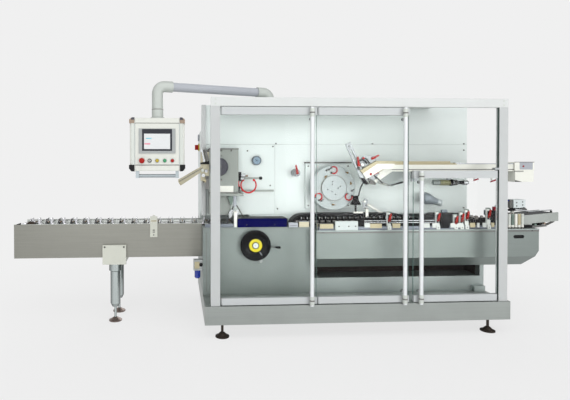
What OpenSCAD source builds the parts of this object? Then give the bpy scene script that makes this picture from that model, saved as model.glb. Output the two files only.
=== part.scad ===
// Automatic cartoner: a guarded machine with a bucket infeed, a rotary carton
// feeder under a blank magazine, a lug chain in a trough, an inclined discharge
// and an operator panel on a swivel arm. Millimetres, +Z up, +X with the flow.

/* [Base] */
// Length of the base plinth
base_len = 2380; // [2300:10:2500]
// Depth of the base plinth
base_depth = 1240; // [1220:10:1400]
// Height of the plinth's underside above the floor
base_clear = 110; // [90:5:150]
// Height of the plinth's side
base_h = 140; // [120:5:160]
// How far the plinth stands proud of the guard's front
front_lip = 10; // [6:1:10]
// Diameter of a levelling foot's pad
foot_d = 107; // [80:1:130]
// Diameter of a levelling foot's screw
foot_stem_d = 20; // [16:1:30]
// Distance of the feet from the plinth's ends
foot_inset_x = 137; // [100:1:180]
// Distance of the feet from the plinth's front and back
foot_inset_y = 66; // [60:1:100]

/* [Guard] */
// Height of the guard's top above the floor
guard_top = 1825; // [1800:5:1900]
// Width of a guard post, seen from the front
post_w = 70; // [50:1:80]
// Depth of a guard post and of the front beam
post_d = 40; // [32:1:50]
// Height of the front beam
beam_h = 68; // [55:1:80]
// Distance of the left post from the plinth's left end
post_inset_left = 46; // [30:1:60]
// Distance of the right post from the plinth's right end
post_inset_right = 19; // [10:1:30]
// Depth from the guard's front to the face of the back wall
wall_y = 500; // [490:1:520]
// Thickness of the back wall's panels
wall_t = 20; // [10:1:30]
// Height of the back wall's lower edge
wall_bottom = 880; // [870:1:900]
// Height of the back wall's level seam
wall_seam_z = 1488; // [1450:1:1520]
// Place of the back wall's upright seam
wall_seam_x = 637; // [600:1:680]
// Gap in the seams between the wall's panels
seam_gap = 2; // [1:0.5:4]
// Length of the roof panel
roof_len = 1890; // [1400:10:2100]
// Thickness of the roof panel
roof_t = 20; // [10:1:30]

/* [Doors] */
// Running gap round the doors
door_gap = 6; // [5:0.5:8]
// Depth of the door rails
rail_d = 30; // [24:1:34]
// Height of the doors' top rails
rail_top_h = 58; // [40:1:70]
// Height of the doors' bottom rails
rail_bottom_h = 52; // [40:1:70]
// Thickness of the clear door panels
glass_t = 8; // [5:1:12]
// Free edge of the left door
left_door_end = 855; // [800:1:870]
// Free edge of the middle door
middle_door_end = 1575; // [1500:1:1590]
// Free edge of the right door
right_door_start = 1612; // [1600:1:1700]
// Height of the right door's top edge
right_door_top = 1268; // [1200:1:1300]
// Diameter of the door bars
bar_d = 30; // [22:1:32]
// Clear space between a door bar and the door rails
bar_gap = 12; // [10:1:20]
// Distance of a door bar from its door's free edge
bar_inset = 45; // [35:1:70]
// Diameter of the door pivots
pivot_d = 12; // [8:1:14]
// Length of a pivot inside its rail
pivot_len = 24; // [15:1:30]
// Radial running clearance of every pivot and shaft
pivot_clear = 0.05; // [0.02:0.01:0.1]

/* [Lower body] */
// Length of the drive cabinet at the infeed end
cabinet_len = 905; // [880:5:950]
// Depth from the guard's front to the cabinet's face
cabinet_y = 290; // [288:1:292]
// Height of the cabinet's top
deck_z = 802; // [795:1:808]
// Rear face of the housings
rear_y = 1180; // [1150:5:1190]
// Height of the rear housing
rear_top = 1612; // [1550:1:1650]
// Distance of the housings' right end from the plinth's
body_inset = 20; // [10:1:30]
// Face of the low panel under the trough
low_panel_y = 300; // [295:1:320]
// Height of the low panel
low_panel_h = 125; // [100:1:140]
// Face of the carton trough
trough_y = 180; // [170:1:182]
// Height of the trough's top
trough_top = 785; // [780:1:790]
// Height of the trough's flat face
trough_face_h = 227; // [200:1:240]
// Height of the trough's underside
trough_bottom = 475; // [450:1:490]
// How far the trough's chamfer goes back
trough_chamfer = 82; // [60:1:100]
// Right end of the trough
trough_end = 2765; // [2760:1:2800]
// Length of the blue cover
cover_len = 405; // [380:1:410]
// Left end of the blue cover
cover_x = 285; // [270:1:290]
// Height of the blue cover
cover_h = 71; // [60:1:78]
// Thickness of the rear panels
panel_t = 5; // [3:1:8]
// Gap between the rear panels
panel_gap = 8; // [5:1:12]

/* [Handwheel] */
// Diameter of the handwheel
wheel_d = 248; // [200:1:260]
// Place of the handwheel along the machine
wheel_x = 425; // [420:1:450]
// Height of the handwheel's shaft
wheel_z = 661; // [650:1:670]
// Reach of the folding crank from the shaft
crank_reach = 205; // [170:1:215]
// Diameter of the handwheel's shaft
wheel_shaft_d = 28; // [20:1:36]

/* [Carton feeder] */
// Diameter of the feeder's drum
drum_d = 380; // [340:1:384]
// Diameter of the drum's cap
cap_d = 212; // [180:1:230]
// Place of the feeder's shaft along the machine
feeder_x = 1112; // [1100:1:1116]
// Height of the feeder's shaft
feeder_z = 1117; // [1112:1:1130]
// Diameter of the feeder's shaft
feeder_shaft_d = 60; // [40:1:80]
// Width and height of the square plate behind the drum
plate_w = 400; // [380:1:420]
// Thickness of the plate behind the drum
plate_t = 20; // [12:1:24]
// Thickness of the drum
drum_t = 25; // [20:1:30]
// Gap between the drum's face disc and its rear flange
flange_gap = 40; // [30:1:44]
// Thickness of the drum's rear flange
flange_t = 15; // [10:1:18]
// Depth from the guard's front to the drum's face
drum_y = 375; // [372:1:380]
// Diameter of the vacuum hoses
hose_d = 10; // [8:1:12]
// Radius of a hose's loop
loop_r = 29; // [24:1:32]
// Distance of the hose loops from the shaft
loop_at = 150; // [146:1:152]
// How far the plate's middle lies left of the shaft
plate_dx = 11; // [0:1:20]
// How far the plate's middle lies above the shaft
plate_dz = 17; // [0:1:20]
// Place of the shaft clamp along the machine
clamp_x = 812; // [790:1:830]
// Height of the shaft clamp
clamp_z = 1243; // [1220:1:1260]
// Diameter of the shaft clamp
clamp_d = 64; // [50:1:70]
// Place of the carton opener's bell along the machine
opener_x = 1279; // [1270:1:1290]
// Depth of the carton opener's bell from the guard's front
opener_y = 316; // [312:1:318]

/* [Leaflet folder] */
// Left side of the folder's housing
folder_x = 60; // [50:1:80]
// Width of the folder's housing
folder_w = 244; // [220:1:250]
// Depth from the guard's front to the folder's face
folder_y = 380; // [376:1:386]
// Height of the folder's underside
folder_z = 1077; // [1070:1:1090]
// Height of the folder's housing
folder_h = 373; // [340:1:390]
// Diameter of the disc on the folder's face
disc_d = 140; // [110:1:150]
// Thickness of the disc on the folder's face
disc_t = 40; // [20:1:45]
// Width of the shelf under the folder
shelf_w = 280; // [270:1:300]
// Thickness of the shelf under the folder
shelf_t = 21; // [15:1:25]
// How far the shelf stands out in front of the folder
shelf_out = 50; // [30:1:60]
// Width of the leaflet chute under the shelf
chute_w = 182; // [150:1:200]
// Height of the leaflet chute under the shelf
chute_h = 163; // [140:1:170]
// Thickness of the folder's two bars
folder_bar_t = 16; // [10:1:18]
// Radius of the folder's hose loop
folder_loop_r = 64; // [50:1:68]
// Diameter of the folder's hose
folder_hose_d = 12; // [8:1:14]
// Length of the leaflet tray
tray_len = 220; // [180:1:230]
// Slope of the leaflet tray in degrees
tray_slope = 33; // [28:1:36]

/* [Carton chain] */
// Pitch of the lugs on the carton chain
lug_pitch = 152.4; // [150:0.1:155]
// Number of lugs on the carton chain
lug_count = 22; // [20:1:22]
// Height of a lug above its chain
lug_h = 60; // [40:1:64]
// Radius of the chain at its wheels
chain_r = 43; // [40:1:46]
// Thickness of the carton chain
chain_t = 6; // [4:1:8]
// Distance of the chain's left wheel from the trough's end
chain_start = 125; // [122:1:130]
// Width of the slot that the carton chain runs in
slot_w = 56; // [54:1:60]
// Height of the chain's guide rails
guide_h = 27; // [20:1:34]
// Left end of the black hood over the chain
hood_x = 722; // [710:1:730]
// Right end of the black hood over the chain
hood_end = 1825; // [1800:1:1850]
// Height of the black hood over the chain
hood_h = 123; // [110:1:124]

/* [Infeed] */
// Length of the infeed conveyor outside the machine
infeed_len = 1553; // [1550:1:1600]
// Depth from the guard's front to the infeed's front panel
infeed_y = 420; // [416:1:430]
// Width of the infeed conveyor
infeed_w = 340; // [320:1:350]
// Height of the infeed panels' top
infeed_top = 820; // [815:1:830]
// Height of the infeed panels
infeed_h = 279; // [270:1:285]
// Thickness of the infeed panels
infeed_t = 12; // [8:1:14]
// Pitch of the product buckets
bucket_pitch = 101.6; // [101:0.1:102]
// Number of product buckets round the loop
bucket_count = 38; // [36:1:38]
// Length of a bucket in the chain's direction
bucket_w = 62; // [50:1:70]
// Height of a bucket's walls
bucket_h = 52; // [40:1:56]
// Thickness of the bucket's sheet
bucket_t = 3; // [2:0.5:4]
// How far a bucket's walls lean out at their top
bucket_flare = 7; // [4:1:9]
// Outer radius of the infeed chain at its wheels
infeed_r = 96; // [92:1:98]
// Thickness of the infeed chain
infeed_chain_t = 12; // [8:1:14]
// Diameter of the infeed's tubular legs
leg_d = 82; // [60:1:90]
// Place of the infeed legs, from the machine's end
leg_x = 730; // [700:1:800]
// Width of the block on the infeed legs
leg_block_w = 194; // [160:1:220]
// How far the block reaches below the infeed panels
leg_block_drop = 56; // [40:1:70]
// How far the block reaches up the infeed panel
leg_block_rise = 106; // [80:1:120]
// Place of the sensor bracket, from the machine's end
sensor_x = 404; // [380:1:430]

/* [Magazine] */
// Height of the magazine bed's top
magazine_z = 1322; // [1318:1:1340]
// Thickness of the magazine bed
magazine_t = 64; // [56:1:70]
// Right end of the magazine
magazine_end = 2733; // [2720:1:2745]
// Bend of the magazine bed towards the feeder
magazine_bend = 1522; // [1515:1:1540]
// Depth from the guard's front to the magazine's near side
magazine_y = 210; // [205:1:215]
// Width of the magazine
magazine_w = 180; // [160:1:200]
// Place of the magazine's mouth along the machine
mouth_x = 1345; // [1340:1:1360]
// How far the magazine's mouth lies below the bed's top
mouth_drop = 118; // [110:1:124]
// Thickness of the magazine belt
belt_t = 8; // [5:1:10]
// Right end of the magazine belt
belt_end = 2081; // [2000:1:2120]
// Length of the block at the magazine's end
end_block_len = 160; // [140:1:180]
// Height of the block at the magazine's end
end_block_h = 163; // [140:1:170]

/* [Discharge] */
// Right end of the discharge
discharge_end = 2997; // [2980:1:3040]
// Left end of the discharge
discharge_start = 2697; // [2690:1:2700]
// Height of the discharge's side plates
discharge_h = 73; // [65:1:80]
// Width between the discharge's side plates
discharge_w = 192; // [170:1:200]
// Rise of the discharge in degrees
discharge_rise = 4.8; // [4:0.1:6]

/* [Operator panel] */
// Width of the operator panel
hmi_w = 397; // [380:1:400]
// Height of the operator panel
hmi_h = 385; // [370:1:400]
// Depth of the operator panel
hmi_d = 150; // [140:1:160]
// Height of the operator panel's underside
hmi_z = 1272; // [1260:1:1280]
// Width of the screen's bezel
screen_w = 264; // [240:1:280]
// Height of the screen's bezel
screen_h = 179; // [160:1:185]
// How far the stop button stands out
button_h = 30; // [20:1:34]
// Diameter of the arm's tube
arm_d = 68; // [60:1:70]
// Diameter of the arm's elbows and neck
elbow_d = 84; // [80:1:90]
// Height of the arm's centre line above the guard
arm_rise = 74; // [72:1:90]
// Place of the arm's swivel along the machine
swivel_x = 545; // [540:1:560]
// Depth of the arm's swivel from the guard's front
swivel_y = 291; // [280:1:300]
// Place of the panel's neck, left of the machine's end
neck_x = 350; // [345:1:360]
// Depth of the panel's neck from the guard's front
neck_y = -10; // [-14:1:-6]
// Diameter of the swivel pins
swivel_d = 40; // [30:1:44]

/* [Hidden] */
$fn = 48;
base_top = base_clear + base_h;
base_back = base_depth - front_lip;
body_end = base_len - body_inset;
post_l0 = post_inset_left;
post_l1 = post_l0 + post_w;
post_r1 = base_len - post_inset_right;
post_r0 = post_r1 - post_w;
beam_z = guard_top - beam_h;
wall_back = wall_y + wall_t;
roof_x0 = post_l1;
infeed_back = infeed_y + infeed_w;
infeed_in0 = infeed_y + infeed_t;
infeed_in1 = infeed_back - infeed_t;
infeed_bottom = infeed_top - infeed_h;

// Doors: the pivots stand in the middle of the rails' round ends
pivot_y = rail_d / 2;
door_z0 = base_top + door_gap;
door_z1 = beam_z - door_gap;
left_pivot_x = post_l1 + door_gap + pivot_y;
middle_pivot_x = left_door_end + door_gap + pivot_y;
right_pivot_x = post_r0 - door_gap - pivot_y;
bar_y = -bar_gap - bar_d / 2;
standoff = 22;

// Infeed chain: a loop of whole bucket pitches
bucket_reach = norm([infeed_r + bucket_t + bucket_h, bucket_w / 2 + bucket_flare]);
end_plate_t = 8;
run_clear = 5;
infeed_run = (bucket_count * bucket_pitch - 2 * PI * infeed_r) / 2;
infeed_wheel_x = -infeed_len + end_plate_t + run_clear + bucket_reach;
infeed_wheel_z = infeed_top - 9 - infeed_r;
pocket_end = infeed_wheel_x + infeed_run + bucket_reach + run_clear;

// Carton chain: a loop of whole lug pitches in the trough
seat_gap = 0.3;
lug_y = trough_y + 70;
chain_run = (lug_count * lug_pitch - 2 * PI * chain_r) / 2;
chain_x = cabinet_len + chain_start;
chain_z = trough_top + chain_t / 2 - chain_r;
lug_reach = chain_r + chain_t / 2 + lug_h;
slot_y0 = lug_y - slot_w / 2;
slot_y1 = lug_y + slot_w / 2;
guide_y1 = slot_y0 - 8;
guide_y0 = guide_y1 - 18;

// Handwheel: its shaft runs in the cabinet's face
wheel_gap = 20;
shaft_in = 40;

// Feeder: the drum turns between its plate and the hood
plate_y = wall_y - plate_t;
hub_end = plate_y - door_gap;
hood_y0 = low_panel_y;
hood_y1 = drum_y + 21;
hood_top = trough_top + hood_h;
cap_t = 15;
clamp_out = 60;
clamp_boss = 24;

// Operator panel and arm
hmi_x = -neck_x;
hmi_front = neck_y - 73;
hmi_top = hmi_z + hmi_h;
arm_z = guard_top + arm_rise;
arm_dx = swivel_x - hmi_x;
arm_dy = swivel_y - neck_y;
arm_len = sqrt(arm_dx * arm_dx + arm_dy * arm_dy);
arm_turn = atan2(arm_dy, arm_dx);
neck_joint_z = hmi_top + 72;
bend_r = 55;
flange_h = 8;
swivel_gap = 1;
swivel_depth = 44;
hmi_corner = 18;
screen_out = 9;
screen_drop = 78;

// Magazine: the bed bends down to its mouth at the feeder
magazine_low = magazine_z - magazine_t;
magazine_back = magazine_y + magazine_w;
mouth_z = magazine_z - mouth_drop;
mouth_slope = atan2(mouth_drop, magazine_bend - mouth_x);
arm_t = 12;

// Folder: length, depth and height of the two bars over the conveyor
folder_bars = [[196, folder_y + 12, folder_z + 115], [306, folder_y + 32, folder_z + 8]];

// Discharge: the side plates stand on the trough's end
discharge_t = 8;
discharge_y = slot_y0 + 33;
discharge_low = trough_top + 28;
end_rise = (discharge_end - discharge_start) * tan(discharge_rise);

// The frame's origin is below the middle of the whole machine's box
mid_x = (discharge_end - infeed_len) / 2;
mid_y = (base_back + hmi_front - button_h) / 2;

// Hand clamps along the front guide: their places and heights
clamp_xs = [1509, 1916, 2066, 2117, 2160, 2345];
clamp_tops = [930, 930, 905, 925, 945, 955];

// Moves a piece from the machine's own measures to the frame's origin
module place() {
    translate([-mid_x, -mid_y, 0]) children();
}

// A box between two corners
module span(a, b) {
    translate(a) cube(b - a);
}

// A round bar along the depth of the machine
module round_y(x, z, r, y0, y1) {
    translate([x, y0, z]) rotate([-90, 0, 0]) cylinder(r = r, h = y1 - y0);
}

// A round bar along the length of the machine
module round_x(y, z, r, x0, x1) {
    translate([x0, y, z]) rotate([0, 90, 0]) cylinder(r = r, h = x1 - x0);
}

// A front outline, in X and Z, drawn out over a depth
module front_shape(y0, y1) {
    translate([0, y1, 0]) rotate([90, 0, 0]) linear_extrude(y1 - y0) children();
}

// A levelling foot: a bell-shaped pad, a screw and its nut
module levelling_foot(top) {
    pad_h = 34;
    rotate_extrude() polygon([[0, 0], [foot_d / 2, 0], [foot_d / 2, 8], [foot_d / 3, 16],
        [foot_stem_d * 0.9, pad_h], [foot_stem_d / 2, pad_h], [foot_stem_d / 2, top], [0, top]]);
    translate([0, 0, top - 16]) cylinder(d = foot_stem_d * 1.7, h = 16, $fn = 6);
}

// A stadium-shaped ring, as a chain makes round two wheels
module loop_ring(run, r_out, thick) {
    difference() {
        loop_outline(run, r_out);
        loop_outline(run, r_out - thick);
    }
}

module loop_outline(run, r) {
    circle(r);
    translate([0, -r]) square([run, 2 * r]);
    translate([run, 0]) circle(r);
}

// Carries a piece to a distance along a loop, standing outwards from it
module on_loop(s, run, r) {
    arc = PI * r;
    if (s < run) translate([s, r]) children();
    else if (s < run + arc)
        translate([run, 0]) rotate(-(s - run) / arc * 180) translate([0, r]) children();
    else if (s < 2 * run + arc)
        translate([2 * run + arc - s, -r]) rotate(180) children();
    else rotate(180 - (s - 2 * run - arc) / arc * 180) translate([0, r]) children();
}

module base_plinth() color("#a8aaa9") place()
    span([0, -front_lip, base_clear], [base_len, base_back, base_top]);

module machine_feet() color("#2b2926") place()
    for (x = [foot_inset_x, base_len - foot_inset_x])
        for (y = [foot_inset_y - front_lip, base_back - foot_inset_y])
            translate([x, y, 0]) levelling_foot(base_clear);

module drive_cabinet() color("#89908a") place() difference() {
    span([0, cabinet_y, base_top], [cabinet_len, rear_y, deck_z]);
    span([-1, infeed_in0, infeed_bottom], [pocket_end, infeed_in1, deck_z + 1]);
    round_y(wheel_x, wheel_z, wheel_shaft_d / 2 + pivot_clear, cabinet_y - 1, cabinet_y + shaft_in + 10);
}

module lower_panel() color("#8c9290") place() {
    end_in = 17;
    end_t = 60;
    step = [94, 38, 47];
    step_in = 87;
    span([cabinet_len, low_panel_y, base_top], [body_end - end_in, wall_y, base_top + low_panel_h]);
    span([body_end - end_in, low_panel_y, base_top], [base_len - 2, low_panel_y + end_t, trough_bottom]);
    translate([body_end - step_in, low_panel_y - step.y, base_top]) cube(step);
}

module machine_bed() color("#3a3634") place()
    span([cabinet_len, wall_y, base_top], [body_end, rear_y, deck_z]);

module carton_trough() color("#98a19e") place() difference() {
    end_cut = [88, 130];
    translate([cabinet_len, 0, 0]) rotate([90, 0, 90])
        linear_extrude(trough_end - cabinet_len)
        polygon([[trough_y, trough_top], [trough_y, trough_top - trough_face_h],
            [trough_y + trough_chamfer, trough_bottom], [wall_y, trough_bottom],
            [wall_y, trough_top]]);
    span([chain_x - lug_reach - run_clear, slot_y0, chain_z - lug_reach - run_clear],
        [chain_x + chain_run + lug_reach + run_clear, slot_y1, trough_top + 1]);
    front_shape(trough_y - 1, wall_y + 1)
        polygon([[trough_end + 1, trough_bottom + end_cut.y], [trough_end - end_cut.x, trough_bottom - 1],
            [trough_end + 1, trough_bottom - 1]]);
    trough_pull();
}

// The recessed pull slot in the trough's face
module trough_pull() {
    pull_len = 92;
    pull_h = 28;
    pull_x = trough_end - 204;
    pull_z = trough_top - 64;
    front_shape(trough_y - 1, trough_y + 14) {
        translate([pull_x, pull_z - pull_h / 2]) square([pull_len - pull_h, pull_h]);
        translate([pull_x, pull_z]) circle(d = pull_h);
        translate([pull_x + pull_len - pull_h, pull_z]) circle(d = pull_h);
    }
}

module blue_cover() color("#0f135a") place()
    span([cover_x, cabinet_y - 5, deck_z], [cover_x + cover_len, infeed_in0 - 2, deck_z + cover_h]);

// Two front posts that carry the beam, and a post before the wall's left edge
module guard_posts() color("#d7dbda") place() {
    wall_post = [36, 30];
    for (x = [post_l0, post_r0])
        span([x, 0, base_top], [x + post_w, post_d, beam_z]);
    span([0, wall_y - wall_post.y, wall_bottom], [wall_post.x, wall_y, guard_top]);
}

module top_beam() color("#dee2e1") place()
    span([post_l0, 0, beam_z], [post_r1, post_d, guard_top]);

module roof_panel() color("#e4e7e4") place()
    span([roof_x0, post_d, guard_top - roof_t], [roof_x0 + roof_len, wall_y, guard_top]);

module wall_panels() color("#dbe5e4") place() {
    half = seam_gap / 2;
    span([0, wall_y, wall_seam_z + half], [body_end, wall_back, guard_top]);
    span([0, wall_y, wall_bottom], [wall_seam_x - half, wall_back, wall_seam_z - half]);
    span([wall_seam_x + half, wall_y, wall_bottom], [body_end, wall_back, wall_seam_z - half]);
}

module rear_housing() color("#dcdfdb") place() {
    span([0, wall_back, wall_bottom], [body_end, rear_y, rear_top]);
    span([0, infeed_back + 20, deck_z], [body_end, rear_y, wall_bottom]);
}

module rear_panels() color("#a3a8a4") place() {
    columns = 3;
    pitch = (body_end - panel_gap) / columns;
    for (i = [0 : columns - 1], z = [[base_top, deck_z], [deck_z, rear_top]])
        span([panel_gap + i * pitch, rear_y, z[0] + panel_gap],
            [(i + 1) * pitch, rear_y + panel_t, z[1] - panel_gap]);
}

module main_switch() color("#d8b400") place() {
    switch_y = 900;
    switch_z = 1475;
    base = [8, 70, 70];
    knob_r = 24;
    knob_x = -18;
    grip = [24, 18, 48];
    translate([-base.x, switch_y - base.y / 2, switch_z - base.z / 2]) cube(base);
    round_x(switch_y, switch_z, knob_r, knob_x, -base.x);
    translate([knob_x - grip.x, switch_y - grip.y / 2, switch_z - grip.z / 2]) cube(grip);
}

module pivot(x, z0, z1) {
    translate([x, pivot_y, z0]) cylinder(d = pivot_d, h = z1 - z0);
}

module door_pivots() color("#8b8f90") place() {
    for (x = [left_pivot_x, middle_pivot_x, right_pivot_x])
        pivot(x, base_top, door_z0 + pivot_len);
    for (x = [left_pivot_x, middle_pivot_x])
        pivot(x, door_z1 - pivot_len, beam_z);
    pivot(right_pivot_x, right_door_top - pivot_len, right_door_top + door_gap);
    span([right_pivot_x - pivot_y, 0, right_door_top + door_gap],
        [post_r0, rail_d, right_door_top + door_gap + 16]);
}

module feeder_plate() color("#d3dcdc") place() {
    x0 = feeder_x - plate_dx - plate_w / 2;
    z0 = feeder_z + plate_dz - plate_w / 2;
    ledge_h = 8;
    ledge_out = 14;
    difference() {
        union() {
            span([x0, plate_y, z0], [x0 + plate_w, wall_y, z0 + plate_w]);
            span([x0, plate_y - ledge_out, z0 + plate_w - ledge_h], [x0 + plate_w, plate_y, z0 + plate_w]);
        }
        round_y(feeder_x, feeder_z, feeder_shaft_d / 2 + pivot_clear, plate_y - 1, wall_y + 1);
    }
}

module shaft_clamp() color("#a9b0b2") place() {
    round_y(clamp_x, clamp_z, clamp_d / 2, wall_y - clamp_out, wall_y);
    round_y(clamp_x, clamp_z, clamp_d / 3, wall_y - clamp_out - clamp_boss, wall_y - clamp_out);
}

// Points of the bed's outline lie beside its top line, which bends down to the mouth
function mouth_point(t) = [mouth_x + t * sin(mouth_slope), mouth_z - t * cos(mouth_slope)];
function bend_point(t) = [magazine_bend + t * tan(mouth_slope / 2), magazine_z - t];

module magazine_bed() color("#e9e8dc") place() {
    end_x = magazine_end - end_block_len;
    end_rise = 11;
    side = 10;
    front_shape(magazine_y, magazine_back)
        polygon([mouth_point(0), bend_point(0), [end_x + side, magazine_z],
            [end_x + side, magazine_low], bend_point(magazine_t), mouth_point(magazine_t)]);
    front_shape(magazine_y + side / 2, magazine_back - side / 2) magazine_skirt();
    span([end_x, magazine_y - side, magazine_z + end_rise - end_block_h],
        [magazine_end, magazine_back + side, magazine_z + end_rise]);
}

// The sheet that closes the bed's underside at the bend
module magazine_skirt() {
    skirt_len = 140;
    skirt_h = 122;
    sunk = 20;
    translate([magazine_bend, magazine_low])
        polygon([[-2 * sunk, sunk], [skirt_len, sunk], [skirt_len, -skirt_h / 2],
            [sunk, -skirt_h], [sunk - skirt_len, -skirt_h / 2]]);
}

module magazine_belt() color("#b8baac") place() {
    margin = 20;
    front_shape(magazine_y + margin, magazine_back - margin)
        polygon([mouth_point(0), bend_point(0), [belt_end, magazine_z],
            [belt_end, magazine_z + belt_t], bend_point(-belt_t), mouth_point(-belt_t)]);
}

module magazine_brackets() color("#c9cdcb") place() {
    bracket_w = 60;
    bracket_xs = [1640, 2150];
    margin = 6;
    for (x = bracket_xs)
        span([x, magazine_back, magazine_low + margin], [x + bracket_w, wall_y, magazine_z - margin]);
    magazine_hanger();
    air_cylinder();
}

// A flat hanger below the bed
module magazine_hanger() {
    hanger = [52, 20, 86];
    hanger_x = 1745;
    translate([hanger_x, magazine_y + magazine_w / 2 - hanger.y / 2, magazine_low - hanger.z]) cube(hanger);
}

// The slotted arm that sets the blanks' length, on its plate at the mouth
module magazine_arm() color("#b9bfc0") place() {
    arm_top = [-174, 265];
    arm_tilt = -65.7;
    arm_over = 20;
    arm = [310, 44];
    slot = [170, 14];
    slot_at = 40;
    front_shape(magazine_y - 2 * arm_t, magazine_y - arm_t)
        translate([mouth_x, mouth_z] + arm_top) rotate(arm_tilt) difference() {
            translate([-arm_over, -arm.y / 2]) square(arm);
            translate([slot_at, -slot.y / 2]) square(slot);
        }
    front_shape(magazine_y - arm_t, magazine_y) translate([mouth_x, mouth_z])
        polygon([[-113, 131], [-45, 181], [55, 181], [55, 141], [7, 96], [80, 41], [30, -29], [-75, -9]]);
}

// Carries an outline to the carton chain and draws it out over a width
module chain_shape(width) {
    translate([chain_x, lug_y + width / 2, chain_z]) rotate([90, 0, 0]) linear_extrude(width) children();
}

module carton_chain() color("#4a4a48") place() {
    band_w = 20;
    lug = [10, lug_h - seat_gap];
    lug_w = 44;
    wheel_w = 16;
    axle_r = 12;
    chain_shape(band_w) loop_ring(chain_run, chain_r + chain_t / 2, chain_t);
    chain_shape(lug_w)
        for (i = [0 : lug_count - 1])
            on_loop(i * lug_pitch, chain_run, chain_r + chain_t / 2)
                translate([-lug.x / 2, seat_gap]) square(lug);
    for (x = [chain_x, chain_x + chain_run]) {
        round_y(x, chain_z, chain_r, lug_y - wheel_w / 2, lug_y + wheel_w / 2);
        round_y(x, chain_z, axle_r, slot_y0, slot_y1);
    }
}

module chain_rails() color("#c4c8c9") place() {
    rail_x0 = cabinet_len + 25;
    front_end = 2500;
    rear_end = 2690;
    block_x = 1062;
    block = [182, 12, 73];
    rear_y0 = slot_y1 + 6;
    rear_t = 14;
    span([rail_x0, guide_y0, trough_top], [front_end, guide_y1, trough_top + guide_h]);
    translate([block_x, guide_y0 - block.y, trough_top]) cube(block);
    span([rail_x0, rear_y0, trough_top], [rear_end, rear_y0 + rear_t, trough_top + guide_h]);
}

module chain_hood() color("#161514") place() {
    nose = 126;
    tail = 215;
    tail_drop = 47;
    rise = hood_top - deck_z;
    front_shape(hood_y0, hood_y1)
        polygon(concat([[hood_x, deck_z]],
            [for (a = [10 : 10 : 90]) [hood_x + nose * (1 - cos(a)), deck_z + rise * sin(a)]],
            [[hood_end - tail, hood_top], [hood_end, hood_top - tail_drop], [hood_end, trough_top],
             [cabinet_len, trough_top], [cabinet_len, deck_z]]));
}

module clamp_posts() color("#e6e7e2") place() {
    half = 16;
    for (i = [0 : len(clamp_xs) - 1])
        span([clamp_xs[i] - half, guide_y0, trough_top + guide_h],
            [clamp_xs[i] + half, guide_y1, clamp_tops[i]]);
}

// A cam lever: a round boss with a tapered finger, flat on a face at depth y
module cam_lever(x, y, z, lean, length) {
    boss_r = 10;
    lever_t = 12;
    translate([x, y, z]) rotate([90, 0, 0]) linear_extrude(lever_t) rotate(lean) {
        circle(boss_r);
        polygon([[-8, 0], [8, 0], [6, length], [-5, length - 4]]);
    }
}

module clamp_levers() color("#d6361a") place() {
    drop = 68;
    for (i = [0 : len(clamp_xs) - 1])
        cam_lever(clamp_xs[i], guide_y0, clamp_tops[i] - drop, -12, 58);
    cam_lever(mouth_x - 95, magazine_y - 2 * arm_t, mouth_z + 106, 8, 70);
    cam_lever(mouth_x + 23, magazine_y - arm_t, mouth_z + 160, -62, 60);
    cam_lever(mouth_x + 32, magazine_y - arm_t, mouth_z + 36, -70, 40);
    cam_lever(clamp_x, wall_y - clamp_out - clamp_boss, clamp_z, 12, 70);
}

// The bell that opens a carton, on its rod, and the blade that leads the carton away
module carton_opener() color("#23282b") place() {
    bell_r = 42;
    rod_r = 8;
    rod_h = 70;
    bell_h = 76;
    blade_t = 16;
    blade_h = 95;
    blade_len = 185;
    blade_w = 30;
    translate([opener_x, opener_y, hood_top]) rotate_extrude()
        polygon([[0, 0], [rod_r, 0], [rod_r, rod_h], [bell_r, rod_h + 2], [bell_r - 2, rod_h + 14],
            [bell_r * 0.6, rod_h + bell_h / 2], [bell_r / 2, rod_h + bell_h], [0, rod_h + bell_h]]);
    translate([opener_x + bell_r + 2 * rod_r, 0, hood_top])
        front_shape(opener_y + 20, opener_y + 20 + blade_t)
        polygon([[0, blade_h], [blade_w, blade_h], [blade_len, 0], [blade_len - blade_w, 0]]);
}

module leaflet_folder() color("#90968f") place() {
    disc_at = [82, 219];
    shelf_z = folder_z - shelf_t;
    span([folder_x, folder_y, folder_z], [folder_x + folder_w, wall_y, folder_z + folder_h]);
    round_y(folder_x + disc_at.x, folder_z + disc_at.y, disc_d / 2, folder_y - disc_t, folder_y);
    span([folder_x, folder_y - shelf_out, shelf_z], [folder_x + shelf_w, wall_y, folder_z]);
    leaflet_chute(shelf_z);
    for (b = folder_bars)
        span([folder_x + folder_w, b[1], b[2]],
            [folder_x + folder_w + b[0], b[1] + folder_bar_t, b[2] + folder_bar_t]);
}

// The chute under the folder, drawn in on its right side
module leaflet_chute(top) {
    draw_in = 26;
    set_back = 10;
    front_shape(folder_y + set_back, wall_y)
        polygon([[folder_x, top - chute_h], [folder_x + chute_w - draw_in, top - chute_h],
            [folder_x + chute_w, top - chute_h * 0.6], [folder_x + chute_w, top], [folder_x, top]]);
}

// A loop of hose that hangs from the folder's upper bar
module folder_hose() color("#c8202a") place() {
    ring_x = folder_x + folder_w + 88;
    ring_y = folder_bars[0][1] + folder_bar_t / 2;
    end_x = folder_loop_r * cos(45);
    ferrule_h = 17;
    ferrule_r = folder_hose_d * 0.75;
    bar_z = folder_bars[0][2];
    ring_z = bar_z - ferrule_h + 12 - end_x;
    translate([ring_x, ring_y, ring_z]) rotate([90, 0, 0]) rotate(135)
        rotate_extrude(angle = 270) translate([folder_loop_r, 0]) circle(d = folder_hose_d);
    for (side = [-1, 1])
        translate([ring_x + side * end_x, ring_y, bar_z - ferrule_h])
            cylinder(r = ferrule_r, h = ferrule_h);
}

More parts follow.
